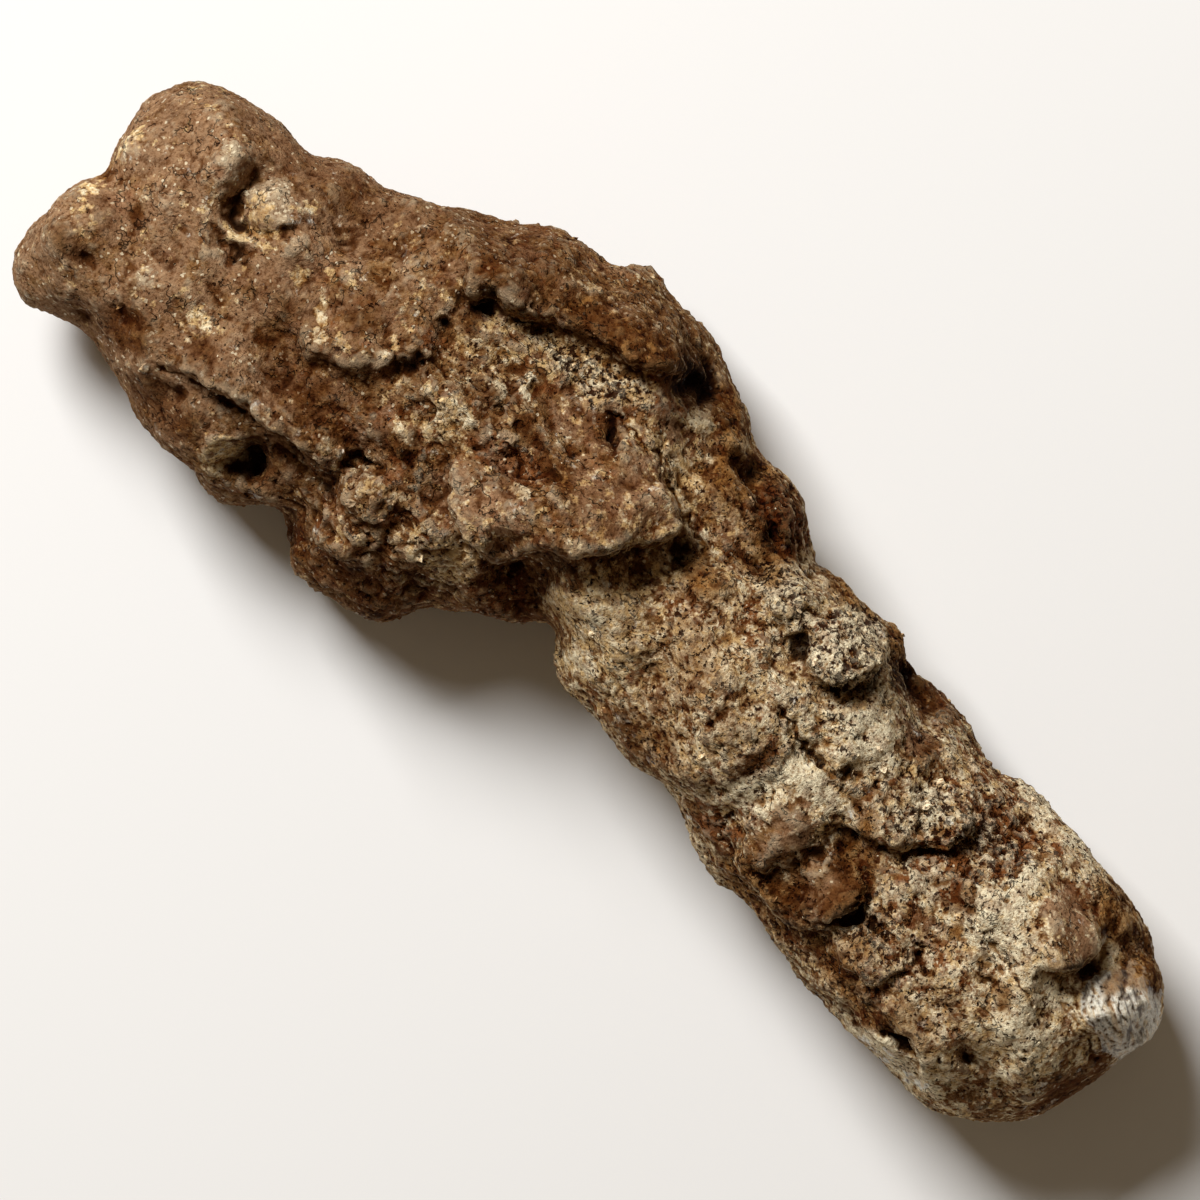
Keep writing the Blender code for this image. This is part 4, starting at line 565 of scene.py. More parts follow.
class FulguriteColours(bpy.types.PropertyGroup):
    soil: colour_prop("Soil", "#815a32", "Baked brown soil")
    soil_dark: colour_prop("Dark soil", "#43260d", "Soil in the dips")
    soil_light: colour_prop("Light soil", "#ac8a60", "Soil worn pale")
    rust: colour_prop("Rust", "#7f4620", "Iron stain")
    dust: colour_prop("Dust", "#a07e60", "Pinkish dust")
    grey: colour_prop("Grey", "#b3a083", "Grey ash and fine quartz")
    lime: colour_prop("Lime", "#d9b67e", "Cream fused sand")
    lime_light: colour_prop("Pale lime", "#faecc8", "The palest fused sand")
    glass: colour_prop("Glass", "#e4dfd0", "Bare fused silica")
    # painted shade: multiplies the colours where the bump is low, in the small dips and in the dark patches
    shade: colour_prop("Shade", "#a88b6b", "Multiplies the colours where dirt lies in the dips")
    pore: colour_prop("Pore", "#301304", "Dirt in the gas pores")
    # painted shade deep in the hollows, a near-black brown that the hairline cracks take too
    hollow: colour_prop("Hollow", "#1a0c04", "Dirt deep in the hollows")
    quartz: colour_prop("Quartz", "#ecdcb9", "Clean quartz grains")


class FulguriteStage(bpy.types.PropertyGroup):
    view_width: FloatProperty(
        name="View width", description="What the picture spans at the lump's height", unit="LENGTH",
        default=0.096)
    key_power: FloatProperty(
        name="Key light", description="Power of the main soft box", unit="POWER", default=8.9)
    sky: FloatProperty(name="Fill", description="Strength of the even light from all round", default=0.13)
    sky_colour: colour_prop("Fill colour", "#ffe4c0", "Warm light that the room throws back")
    floor: colour_prop("Floor", "#e9e8e6", "The plain table")


# ---------------------------------------------------------------- mesh helpers

def smooth_step(low, high, value):
    t = np.clip((value - low) / (high - low), 0, 1)
    return t * t * (3 - 2 * t)


def coordinates(mesh):
    """(points, normals) of a mesh, in millimetres."""
    points = np.empty(len(mesh.vertices) * 3, np.float32)
    normals = np.empty(len(mesh.vertices) * 3, np.float32)
    mesh.vertices.foreach_get("co", points)
    mesh.vertex_normals.foreach_get("vector", normals)
    return points.reshape(-1, 3).astype(float) / MM, normals.reshape(-1, 3).astype(float)


def set_points(mesh, points):
    mesh.vertices.foreach_set("co", (points * MM).astype(np.float32).ravel())
    mesh.update()


def set_attribute(mesh, name, values):
    attribute = mesh.attributes.get(name) or mesh.attributes.new(name, "FLOAT", "POINT")
    attribute.data.foreach_set("value", values.astype(np.float32))


def keep_evaluated(obj):
    """Makes what the modifiers give the object's own mesh, and removes them."""
    graph = bpy.context.evaluated_depsgraph_get()
    mesh = bpy.data.meshes.new_from_object(
        obj.evaluated_get(graph), preserve_all_data_layers=True, depsgraph=graph)
    obj.modifiers.clear()
    obj.data = mesh


def remesh(obj, voxel, smoothing):
    modifier = obj.modifiers.new("Remesh", "REMESH")
    modifier.mode = "VOXEL"
    modifier.voxel_size = voxel * MM
    relax = obj.modifiers.new("Smooth", "SMOOTH")
    relax.factor = RELAXING
    relax.iterations = smoothing
    keep_evaluated(obj)


def thin(obj, most_triangles):
    obj.data.calc_loop_triangles()
    modifier = obj.modifiers.new("Decimate", "DECIMATE")
    modifier.ratio = min(1, most_triangles / len(obj.data.loop_triangles))
    keep_evaluated(obj)


def run_tree(obj, tree, values):
    """Runs a Geometry Nodes tree with its named inputs set, and keeps the result as a plain mesh."""
    modifier = obj.modifiers.new(tree.name, "NODES")
    modifier.node_group = tree
    for item in tree.interface.items_tree:
        if item.item_type == "SOCKET" and item.in_out == "INPUT" and item.name in values:
            modifier[item.identifier] = values[item.name]
    keep_evaluated(obj)


def named_inputs(tree, inputs):
    """Gives a tree a geometry input and output and the named inputs, and returns their sockets."""
    for way in ("INPUT", "OUTPUT"):
        tree.interface.new_socket("Geometry", in_out=way, socket_type="NodeSocketGeometry")
    for name, kind in inputs.items():
        tree.interface.new_socket(name, in_out="INPUT", socket_type="NodeSocket" + kind)
    return tree.nodes.new("NodeGroupInput").outputs


# ---------------------------------------------------------------- sculpting

def facing_up(normals):
    """1 on the upper side and 0 on the flanks and the belly."""
    return smooth_step(*FLANK_TO_CROWN, normals[:, 2])


def bent(places):
    """Plan places moved about by BEND, so that what is drawn on them is as irregular as the solid."""
    places = np.atleast_2d(np.array(places, float))
    moved = places.copy()
    for i, (wavelength, reach) in enumerate(BEND):
        for axis in (0, 1):
            seed = BEND_SEED + 2 * i + axis
            offset = Vector([seed * step for step in SEED_STEP])
            moved[:, axis] += reach * np.array(
                [noise.noise(Vector((x, y, 0)) / wavelength + offset) for x, y in places])
    return moved


def ragged(plan):
    """Plan places moved about a little, so that what is drawn on them has a ragged outline.

    The waves' rates are in radians a millimetre, and differ so that no two keep step."""
    x, y = plan.T
    along = np.sin(3.1 * y + 2 * np.sin(1.7 * x)) + FINE_RAGGED * np.sin(6.3 * x + 2 * np.sin(4.1 * y))
    across = np.sin(2.9 * x + 2 * np.sin(1.9 * y)) + FINE_RAGGED * np.sin(5.7 * y + 2 * np.sin(4.7 * x))
    return plan + RAGGED * np.stack([along, across], axis=1)


def plan_of(points):
    """Where each point is in the plan that the features are laid out on, as the camera sees it."""
    nearer = VIEW_HEIGHT / (VIEW_HEIGHT + LUMP_MIDDLE - points[:, 2:] * MM)
    return ragged(bent(AIM + (points[:, :2] - AIM) * nearer + PLAN_SHIFT))


def near(plan, places, reach):
    """The points within reach of the box around some places."""
    inside = (plan > places.min(axis=0) - reach) & (plan < places.max(axis=0) + reach)
    return np.nonzero(inside.all(axis=1))[0]


def turned(plan, degrees):
    """The two coordinates of plan places along and across a direction."""
    angle = math.radians(degrees)
    x, y = plan.T
    return x * math.cos(angle) + y * math.sin(angle), y * math.cos(angle) - x * math.sin(angle)


def oval(plan, where, length, width, turn=0):
    """1 at the middle of an oval and 0 outside it, falling with the square of the distance."""
    along, across = turned(plan - where, turn)
    u, v = along / length, across / width
    return np.clip(1 - u * u - v * v, 0, 1)


def bent_oval(plan, x, y, *size_and_turn):
    """The points near an oval whose middle is bent like the plan, and the oval's share at each of them."""
    where = bent((x, y))
    rows = near(plan, where, max(size_and_turn[:2]))
    return rows, oval(plan[rows], where, *size_and_turn)


def path_distance(plan, path):
    """Signed distance to a path, positive on its left, the way to its right, and a fade at its two ends."""
    starts, runs = path[:-1], np.diff(path, axis=0)
    lengths = np.linalg.norm(runs, axis=1)
    offset = plan[:, None] - starts
    share = np.clip((offset * runs).sum(2) / lengths ** 2, 0, 1)
    gap = offset - share[..., None] * runs
    nearest = np.linalg.norm(gap, axis=2).argmin(axis=1)
    rows = np.arange(len(plan))
    gap, share, run = gap[rows, nearest], share[rows, nearest], runs[nearest]
    distance = np.linalg.norm(gap, axis=1)
    side = np.where(run[:, 0] * gap[:, 1] - run[:, 1] * gap[:, 0] < 0, -1, 1)
    travelled = np.concatenate([[0], np.cumsum(lengths)[:-1]])[nearest] + share * lengths[nearest]
    fade = smooth_step(0, END_FADE, np.minimum(travelled, lengths.sum() - travelled))
    return side * distance, -side[:, None] * gap / np.maximum(distance, 1e-6)[:, None], fade


def ledges(plan, shift):
    """Adds each ledge's step, foot groove and lip to the points' shift."""
    for path, rise, reach, foot, lip in LEDGES.values():
        path = bent(path)
        rows = near(plan, path, reach)
        distance, downhill, fade = path_distance(plan[rows], path)
        crown = np.clip(1 - distance / reach, 0, 1) ** CROWN_FALL
        groove = np.clip(1 + distance / FOOT_WIDTH, 0, 1) ** FOOT_FALL
        high = smooth_step(-EDGE_WIDTH, EDGE_WIDTH, distance) * crown
        low = smooth_step(EDGE_WIDTH, -EDGE_WIDTH, distance) * groove
        lean = np.clip(1 - np.abs(distance - EDGE_WIDTH) / LIP_WIDTH, 0, 1) ** 2
        shift[rows, 2] += (rise * high - foot * low) * fade
        shift[rows, :2] += downhill * (lip * lean * fade)[:, None]


def cracks(plan, shift):
    for path, half_width, depth in CRACKS.values():
        path = bent(path)
        rows = near(plan, path, 3 * half_width)
        distance, _, fade = path_distance(plan[rows], path)
        shift[rows, 2] -= depth * fade * np.exp(-((distance / half_width) ** 2))


def knobs(plan, shift):
    for x, y, length, width, rise, sharpness, *turn in KNOBS.values():
        rows, share = bent_oval(plan, x, y, length, width, *turn)
        shift[rows, 2] += rise * share ** sharpness


def flutes(plan, shift):
    """The parallel grooves in the bare glass at the tip."""
    patch = oval(plan, FLUTE_MIDDLE, *FLUTE_SIZE) ** FLUTE_SOFTNESS
    along, across = turned(plan, FLUTE_TURN)
    for reach, rate in FLUTE_WAVES:
        across = across + reach * np.sin(along * rate)
    ridge = 1 - np.abs(2 * (across / FLUTE_SPACING % 1) - 1)
    shift[:, 2] -= FLUTE_DEPTH * patch * ridge ** 2


def sculpt(mesh, strokes):
    points, normals = coordinates(mesh)
    plan = plan_of(points)
    shift = np.zeros_like(points)
    for stroke in strokes:
        stroke(plan, shift)
    set_points(mesh, points + shift * facing_up(normals)[:, None])


# ---------------------------------------------------------------- masks

def smoothed(points, edges, passes):
    """The points moved to the middle of their neighbours, passes times."""
    a, b = edges.T
    count = np.bincount(np.concatenate([a, b]), minlength=len(points))[:, None]
    for _ in range(passes):
        points = np.stack(
            [np.bincount(a, points[b, i], len(points)) + np.bincount(b, points[a, i], len(points))
             for i in range(3)], axis=1) / np.maximum(count, 1)
    return points


def paint_masks(mesh):
    """Writes stains and bare patches as attributes, with painted shade in hollows and dips and wear on edges.
    """
    points, normals = coordinates(mesh)
    plan = plan_of(points)
    up = facing_up(normals)
    edges = np.empty(len(mesh.edges) * 2, np.int32)
    mesh.edges.foreach_get("vertices", edges)
    edges = edges.reshape(-1, 2)
    offsets = np.linspace(-ALONG_BLUR, ALONG_BLUR, ALONG_SAMPLES)
    for name in MASKS:
        xs, levels = np.array(ALONG[name], float).T
        mask = np.mean([np.interp(plan[:, 0] + offset, xs, levels) for offset in offsets], axis=0)
        for x, y, length, width, strength, *turn in PATCHES[name]:
            rows, share = bent_oval(plan, x, y, length, width, *turn)
            mask[rows] += strength * share ** PATCH_SOFTNESS * up[rows]
        if name == "hollow":
            depth = ((smoothed(points, edges, HOLLOW_PASSES) - points) * normals).sum(axis=1)
            mask += smooth_step(*HOLLOW_DEPTHS, depth)
        set_attribute(mesh, name, np.clip(mask, 0, 1))
    height = ((points - smoothed(points, edges, EDGE_PASSES)) * normals).sum(axis=1)
    set_attribute(mesh, "wear", smooth_step(*EDGE_HEIGHTS, height))
    set_attribute(mesh, "pit", smooth_step(*PIT_DEPTHS, -height))


# ---------------------------------------------------------------- relief by Geometry Nodes

MEAN_CELL = 0.45  # how far a place lies from its cell's middle on average, so that the relief adds no height
NODULE_BLEND = 0.35  # how far nodules run into one another
CREVICE_WIDTH = 0.045  # in noise values either side of the middle one
PORES = (30.0, (0.7, 0.55), 0.035)  # seed, the noise values that bound them and the softness of their rim
TABLE_FADE = (0.1, 1.2)  # the relief grows from nothing to all of it between these heights over the table


def property_label(name):
    """A property's name as its input of a tree says it, such as Lump size for lump_size."""
    return name.replace("_", " ").capitalize()


def relief_tree():
    """Displaces a mesh along its normals by lumps, nodules, crevices, grit and gas pores.

    There is less of it near the table."""
    tree = bpy.data.node_groups.new("crust_relief", "GeometryNodeTree")
    given = named_inputs(tree, {property_label(name): "Float" for name in FulguriteCrust.__annotations__})
    per = {size: add(tree, "ShaderNodeMath", {0: 1.0, 1: given[size]}, operation="DIVIDE")
           for size in ("Lump size", "Nodule size", "Crevice spacing", "Grit size", "Pore size")}
    rough, porous = (
        add(tree, "GeometryNodeInputNamedAttribute", {"Name": name}, data_type="FLOAT")
        for name in ("rough", "porous"))
    place = add(tree, "GeometryNodeInputPosition")

    # lumps that wander, so that they don't lie in rows
    wander = stray(tree, {"Vector": place, "W": given["Seed"], "Scale": per["Lump size"], "Detail": 1.0},
                   given["Nodule size"], noise_dimensions="4D")
    strayed = add(tree, "ShaderNodeVectorMath", {0: place, 1: wander})
    lumps = add(tree, "ShaderNodeTexNoise",
                {"Vector": strayed, "W": given["Seed"], "Scale": per["Lump size"], "Detail": 4.0,
                 "Roughness": 0.62}, noise_dimensions="4D")
    lumps = add(tree, "ShaderNodeMath", {0: lumps, 1: 0.5}, operation="SUBTRACT")
    lumps = add(tree, "ShaderNodeMath", {0: lumps, 1: given["Lump height"]}, operation="MULTIPLY")

    # rounded nodules on them and sharper grit, each a field of cells
    nodules = add(tree, "ShaderNodeTexVoronoi",
                  {"Vector": strayed, "Scale": per["Nodule size"], "Smoothness": NODULE_BLEND},
                  feature="SMOOTH_F1")
    grit = add(tree, "ShaderNodeTexVoronoi", {"Vector": place, "Scale": per["Grit size"]})
    raised = []
    for cells, height in ((nodules, "Nodule height"), (grit, "Grit height")):
        cells = add(tree, "ShaderNodeMath", {0: MEAN_CELL, 1: cells}, operation="SUBTRACT")
        raised.append(add(tree, "ShaderNodeMath", {0: cells, 1: given[height]}, operation="MULTIPLY"))
    nodules, grit = raised

    # crevices where a broad noise crosses its middle value
    crevices = add(tree, "ShaderNodeTexNoise",
                   {"Vector": strayed, "W": given["Seed"], "Scale": per["Crevice spacing"], "Detail": 2.0,
                    "Roughness": 0.5}, noise_dimensions="4D")
    crevices = seam(tree, crevices, CREVICE_WIDTH, 0.0, interpolation_type="SMOOTHSTEP")
    crevices = add(tree, "ShaderNodeMath", {0: crevices, 1: given["Crevice depth"]}, operation="MULTIPLY")
    crumbly = add(tree, "ShaderNodeMath", {0: lumps, 1: nodules}, operation="ADD")
    crumbly = add(tree, "ShaderNodeMath", {0: crumbly, 1: crevices}, operation="SUBTRACT")
    height = add(tree, "ShaderNodeMath", {0: crumbly, 1: rough, 2: grit}, operation="MULTIPLY_ADD")
    pore = cover(tree, place, porous, per["Pore size"], *PORES)
    pore = add(tree, "ShaderNodeMath", {0: pore, 1: given["Pore depth"]}, operation="MULTIPLY")
    height = add(tree, "ShaderNodeMath", {0: height, 1: pore}, operation="SUBTRACT")

    level = add(tree, "ShaderNodeSeparateXYZ", {0: place}, out="Z")
    low, high = TABLE_FADE
    above_table = add(tree, "ShaderNodeMapRange",
                      {"Value": level, "From Min": low * MM, "From Max": high * MM},
                      interpolation_type="SMOOTHSTEP")
    height = add(tree, "ShaderNodeMath", {0: height, 1: above_table}, operation="MULTIPLY")
    normal = add(tree, "GeometryNodeInputNormal")
    offset = add(tree, "ShaderNodeVectorMath", {0: normal, "Scale": height}, operation="SCALE")
    moved = add(tree, "GeometryNodeSetPosition", {"Geometry": given["Geometry"], "Offset": offset})
    add(tree, "NodeGroupOutput", {0: moved})
    return tree


# ---------------------------------------------------------------- materials

DULL, SHINY = 0.03, 0.5  # specular levels: dusty soil scatters nearly all its light, glass and quartz shine
MATT, GLASSY, CLEAN = 0.9, 0.42, 0.3  # roughness of the soil, of bare glass and of a clean grain of quartz

# Sizes in the colours, in millimetres. The real sand, pores and quartz faces go down to about 0.1, which is
# too fine to show, so the finest of each is drawn as coarse as it needs to show.
STAIN = 3.3  # a stain in the soil
MOTTLE = 0.85  # a mottle in the soil and in the lime
SAND = 0.29  # a grain of sand, drawn coarse
HOLE = 0.6  # a gas pore
PINHOLE = 0.36  # the finest pores, drawn coarse
FLECK = 0.22  # a bare face of clean quartz, drawn coarse
HAIRLINE = 2.4  # how far apart the hairline cracks lie
CRACK_WIDTHS = (0.014, 0.004)  # in noise values either side of the middle one
STREAKS = (0.2, 1.3 / FLUTE_SPACING, 0.4)  # a millimetre, along the flutes, across them and in depth

# Ragged patches: their scale, seed, the noise values that bound them where their mask is 0 and where it is 1,
# the softness of their rim and, where it isn't 5, the detail of their outline.
COVERS = {
    "rust": (2 / STAIN, 12.0, (0.66, 0.36), 0.12),
    "dust": (1.5 / STAIN, 11.0, (0.66, 0.36), 0.14),
    "grey": (1.4 / MOTTLE, 13.0, (0.68, 0.42), 0.06),
    "veil": (1.2 / MOTTLE, 18.0, (0.62, 0.42), 0.1, 3.0),
    "lime": (0.9 / MOTTLE, 14.0, (0.67, 0.35), 0.07),
    "glass": (0.45 / MOTTLE, 15.0, (0.66, 0.36), 0.06),
    "hole": (1 / HOLE, 16.0, (0.705, 0.55), 0.03, 3.0),
    "rim of a hole": (1 / HOLE, 16.0, (0.67, 0.51), 0.07, 3.0),
    "pinhole": (1 / PINHOLE, 17.0, (0.755, 0.6), 0.045, 1.0),
}

# Bump: how far each pattern stands out, in millimetres.
MOTTLE_RISE = 0.5
SAND_RISE = 0.26
GRAIN_RISE = -0.12
HOLE_RISE = -0.3
CRACK_RISE = -0.3


# In each layer below, the numbers after a pattern are the values between which it comes in, and the most that
# it covers.

def soil(tree, place, mask, tint, broad, fine):
    """Baked soil, from its dips to its worn places, with iron stains, dust and ash."""
    colour = laid_over(tree, tint["soil_dark"], tint["soil"], broad, 0.28, 0.5)
    colour = laid_over(tree, colour, tint["soil_light"], fine, 0.44, 0.72, 0.8)
    for stain in ("rust", "dust"):
        stained = cover(tree, place, mask[stain], *COVERS[stain])
        colour = laid_over(tree, colour, tint[stain], stained, most=0.7)
    # painted shade where the mottled bump is low
    colour = darkened(tree, colour, tint["shade"], fine, 0.5, 0.36, 0.8)
    ashy = cover(tree, place, mask["grey"], *COVERS["grey"])
    return laid_over(tree, colour, tint["grey"], ashy, most=0.6)


def fused_sand(tree, place, mask, tint, fine):
    """Cream fused sand, whiter where it is cleaner, under a broken veil of dust."""
    whiter = add(tree, "ShaderNodeMath", {0: mask["white"], 1: 0.2, 2: fine}, operation="MULTIPLY_ADD")
    colour = laid_over(tree, tint["lime"], tint["lime_light"], whiter, 0.46, 0.66)
    veil = cover(tree, place, mask["rust"], *COVERS["veil"])
    return laid_over(tree, colour, tint["dust"], veil, most=0.6)


def bare_glass(tree, place, tint):
    """Glass with no crust on it, streaked along its flutes."""
    streaks = add(tree, "ShaderNodeVectorRotate", {"Vector": place, "Angle": math.radians(-FLUTE_TURN)},
                  rotation_type="Z_AXIS")
    streaks = add(tree, "ShaderNodeVectorMath", {0: streaks, 1: STREAKS}, operation="MULTIPLY")
    streaks = add(tree, "ShaderNodeTexNoise",
                  {"Vector": streaks, "Scale": 1.0, "Detail": 4.0, "Roughness": 0.6})
    colour = laid_over(tree, tint["glass"], tint["lime"], streaks, 0.5, 0.6, 0.7)
    return laid_over(tree, colour, tint["soil_dark"], streaks, 0.46, 0.36, 0.8)


def quartz_faces(tree, place, mask, fine):
    """Clean faces of quartz: cells whose random tone is nearly 1, more of them on ash and in clusters."""
    fleck = add(tree, "ShaderNodeTexVoronoi", {"Vector": place, "Scale": 1 / FLECK}, out="Color")
    fleck = add(tree, "ShaderNodeSeparateColor", {0: fleck})
    often = add(tree, "ShaderNodeMath", {0: mask["grey"], 1: 0.07, 2: fleck}, operation="MULTIPLY_ADD")
    clustered = add(tree, "ShaderNodeMapRange",
                    {"Value": fine, "From Min": 0.52, "From Max": 0.7, "To Max": 0.03})
    often = add(tree, "ShaderNodeMath", {0: often, 1: clustered}, operation="ADD")
    return add(tree, "ShaderNodeMapRange",
               {"Value": often, "From Min": 0.99, "From Max": 1.0, "To Max": 0.6})


def hairline_cracks(tree, place, broad, bare):
    """Hairline cracks in some parts of the crust, and none in the bare glass."""
    crack = add(tree, "ShaderNodeTexNoise",
                {"Vector": place, "Scale": 1 / HAIRLINE, "Detail": 3.0, "Roughness": 0.6})
    crack = seam(tree, crack, *CRACK_WIDTHS)
    present = add(tree, "ShaderNodeMapRange", {"Value": broad, "From Min": 0.48, "From Max": 0.56})
    crusted = add(tree, "ShaderNodeMath", {0: 1.0, 1: bare}, operation="SUBTRACT")
    for share in (present, crusted):
        crack = add(tree, "ShaderNodeMath", {0: crack, 1: share}, operation="MULTIPLY")
    return crack


def crust_colour(tree, colours):
    """Adds the colour of the crust at a place to a material. Returns the sockets that the shader needs.

    The crust is baked soil on sand that lightning fused: matt, mottled at 1 to 4 mm by stains, and grainy at
    0.3 mm, the width of its coarser sand, with dark gas pores under 1 mm wide and hairline cracks."""
    place = add(tree, "ShaderNodeTexCoord", out="Object")
    place = add(tree, "ShaderNodeVectorMath", {0: place, "Scale": 1 / MM}, operation="SCALE")  # in mm
    mask = {name: add(tree, "ShaderNodeAttribute", out="Fac", attribute_name=name)
            for name in (*MASKS, "wear", "pit")}
    tint = {name: tuple(getattr(colours, name)) for name in colours.__annotations__}
    broad, fine, sandy = (
        add(tree, "ShaderNodeTexNoise",
            {"Vector": place, "Scale": 1 / width, "Detail": detail, "Roughness": roughness})
        for width, detail, roughness in ((STAIN, 5.0, 0.62), (MOTTLE, 6.0, 0.7), (SAND, 4.0, 0.75)))

    colour = soil(tree, place, mask, tint, broad, fine)
    limy = cover(tree, place, mask["lime"], *COVERS["lime"])
    colour = laid_over(tree, colour, fused_sand(tree, place, mask, tint, fine), limy, most=0.95)
    bare = cover(tree, place, mask["glass"], *COVERS["glass"])
    colour = laid_over(tree, colour, bare_glass(tree, place, tint), bare)

    # each grain of sand its own tone, and painted shade between grains, where the sand's bump is low
    grain = add(tree, "ShaderNodeTexVoronoi", {"Vector": place, "Scale": 1 / SAND})
    grain_tone = add(tree, "ShaderNodeSeparateColor", {0: grain.node.outputs["Color"]}, out="Green")
    colour = shaded(tree, colour, grain_tone, 0.86, 1.12)
    colour = darkened(tree, colour, tint["shade"], sandy, 0.5, 0.38, 0.75)
    quartz = quartz_faces(tree, place, mask, fine)
    colour = laid_over(tree, colour, tint["quartz"], quartz)

    # dirt in the pores, with a stained rim round each, dark cracks, paler worn edges and painted shade in
    # dips
    hole, pinhole, rim = (
        cover(tree, place, mask["porous"], *COVERS[name]) for name in ("hole", "pinhole", "rim of a hole"))
    hole = add(tree, "ShaderNodeMath", {0: hole, 1: pinhole}, operation="MAXIMUM")
    colour = laid_over(tree, colour, tint["rust"], rim, most=0.45)
    colour = laid_over(tree, colour, tint["pore"], hole, most=0.95)
    # painted shade in the small dips
    colour = darkened(tree, colour, tint["shade"], mask["pit"])
    crack = hairline_cracks(tree, place, broad, bare)
    # hairline cracks in the near-black brown of the painted shade
    colour = laid_over(tree, colour, tint["hollow"], crack, most=0.7)
    colour = laid_over(tree, colour, tint["lime_light"], mask["wear"], most=0.2)
    # painted shade deep in the hollows and where shadows fall
    colour = laid_over(tree, colour, tint["hollow"], mask["hollow"], most=0.9)
    # painted shade, with darker soil, in the dark patches
    colour = darkened(tree, colour, tint["shade"], mask["dark"])

    height = add(tree, "ShaderNodeMath", {0: grain, 1: GRAIN_RISE}, operation="MULTIPLY")
    for pattern, rise in ((fine, MOTTLE_RISE), (sandy, SAND_RISE)):
        height = add(tree, "ShaderNodeMath", {0: pattern, 1: rise, 2: height}, operation="MULTIPLY_ADD")
    unevenness = add(tree, "ShaderNodeMapRange", {"Value": mask["rough"], "From Max": 0.6, "To Min": 0.5})
    height = add(tree, "ShaderNodeMath", {0: height, 1: unevenness}, operation="MULTIPLY")
    for pattern, rise in ((hole, HOLE_RISE), (crack, CRACK_RISE)):
        height = add(tree, "ShaderNodeMath", {0: pattern, 1: rise, 2: height}, operation="MULTIPLY_ADD")
    return colour, height, bare, quartz


def new_material(name):
    """(material, its tree, its shader)."""
    material = bpy.data.materials.new(name)
    material.use_nodes = True
    return material, material.node_tree, material.node_tree.nodes["Principled BSDF"]


def surface(tree, shader, colour, shine, shiniest):
    """Gives a shader its colour, and a roughness down to shiniest where the shine is 1."""
    roughness = add(tree, "ShaderNodeMapRange", {"Value": shine, "To Min": MATT, "To Max": shiniest})
    specular = add(tree, "ShaderNodeMapRange", {"Value": shine, "To Min": DULL, "To Max": SHINY})
    tree.links.new(colour, shader.inputs["Base Color"])
    tree.links.new(roughness, shader.inputs["Roughness"])
    tree.links.new(specular, shader.inputs["Specular IOR Level"])


def crust_material(colours):
    """Fused soil and sand: matt and gritty, with a dull shine on bare glass and on clean quartz grains."""
    material, tree, shader = new_material("fused_soil_crust")
    colour, height, bare, quartz = crust_colour(tree, colours)
    shine = add(tree, "ShaderNodeMath", {0: bare, 1: quartz}, operation="MAXIMUM")
    surface(tree, shader, colour, shine, GLASSY)
    bump = add(tree, "ShaderNodeBump", {"Strength": 1.0, "Distance": MM, "Height": height})
    tree.links.new(bump, shader.inputs["Normal"])
    return material


def grain_material(colours):
    """Sand grains that are fused on: each takes the stain around it, and a few are clean, shiny quartz."""
    material, tree, shader = new_material("fused_sand_grains")
    colour = crust_colour(tree, colours)[0]
    tone = add(tree, "ShaderNodeAttribute", out="Fac", attribute_name="tone")
    colour = shaded(tree, colour, tone, 0.85, 1.2)
    clean = add(tree, "ShaderNodeMapRange",
                {"Value": tone, "From Min": 0.98, "From Max": 0.99, "To Max": 0.6})
    colour = laid_over(tree, colour, tuple(colours.quartz), clean)
    surface(tree, shader, colour, clean, CLEAN)
    return material


# ---------------------------------------------------------------- grains by Geometry Nodes

# The stretch of x that each piece's grains lie in.
GRAIN_REGIONS = {
    "head_grains": (-60, -28), "middle_grains": (-28, 0), "neck_grains": (0, 28), "tail_grains": (28, 60)}
WHOLE_LENGTH = (-60, 60)
CLEAR_OF_TABLE = 0.6
GRAIN_DENSITY, CRUMB_DENSITY = 2.2e6, 0.12e6  # the most on a square metre
GRAIN_SUNK, CRUMB_SUNK = 0.28, 0.3  # how much of its width lies below the surface
CRUMB_LUMPINESS = 1.3
LUMPS_ACROSS = 1.6
FULL_TURN = 6.3  # radians, rounded up
LEAST_STRETCH, MOST_STRETCH = (0.6, 0.6, 0.5), (1.4, 1.3, 1.0)


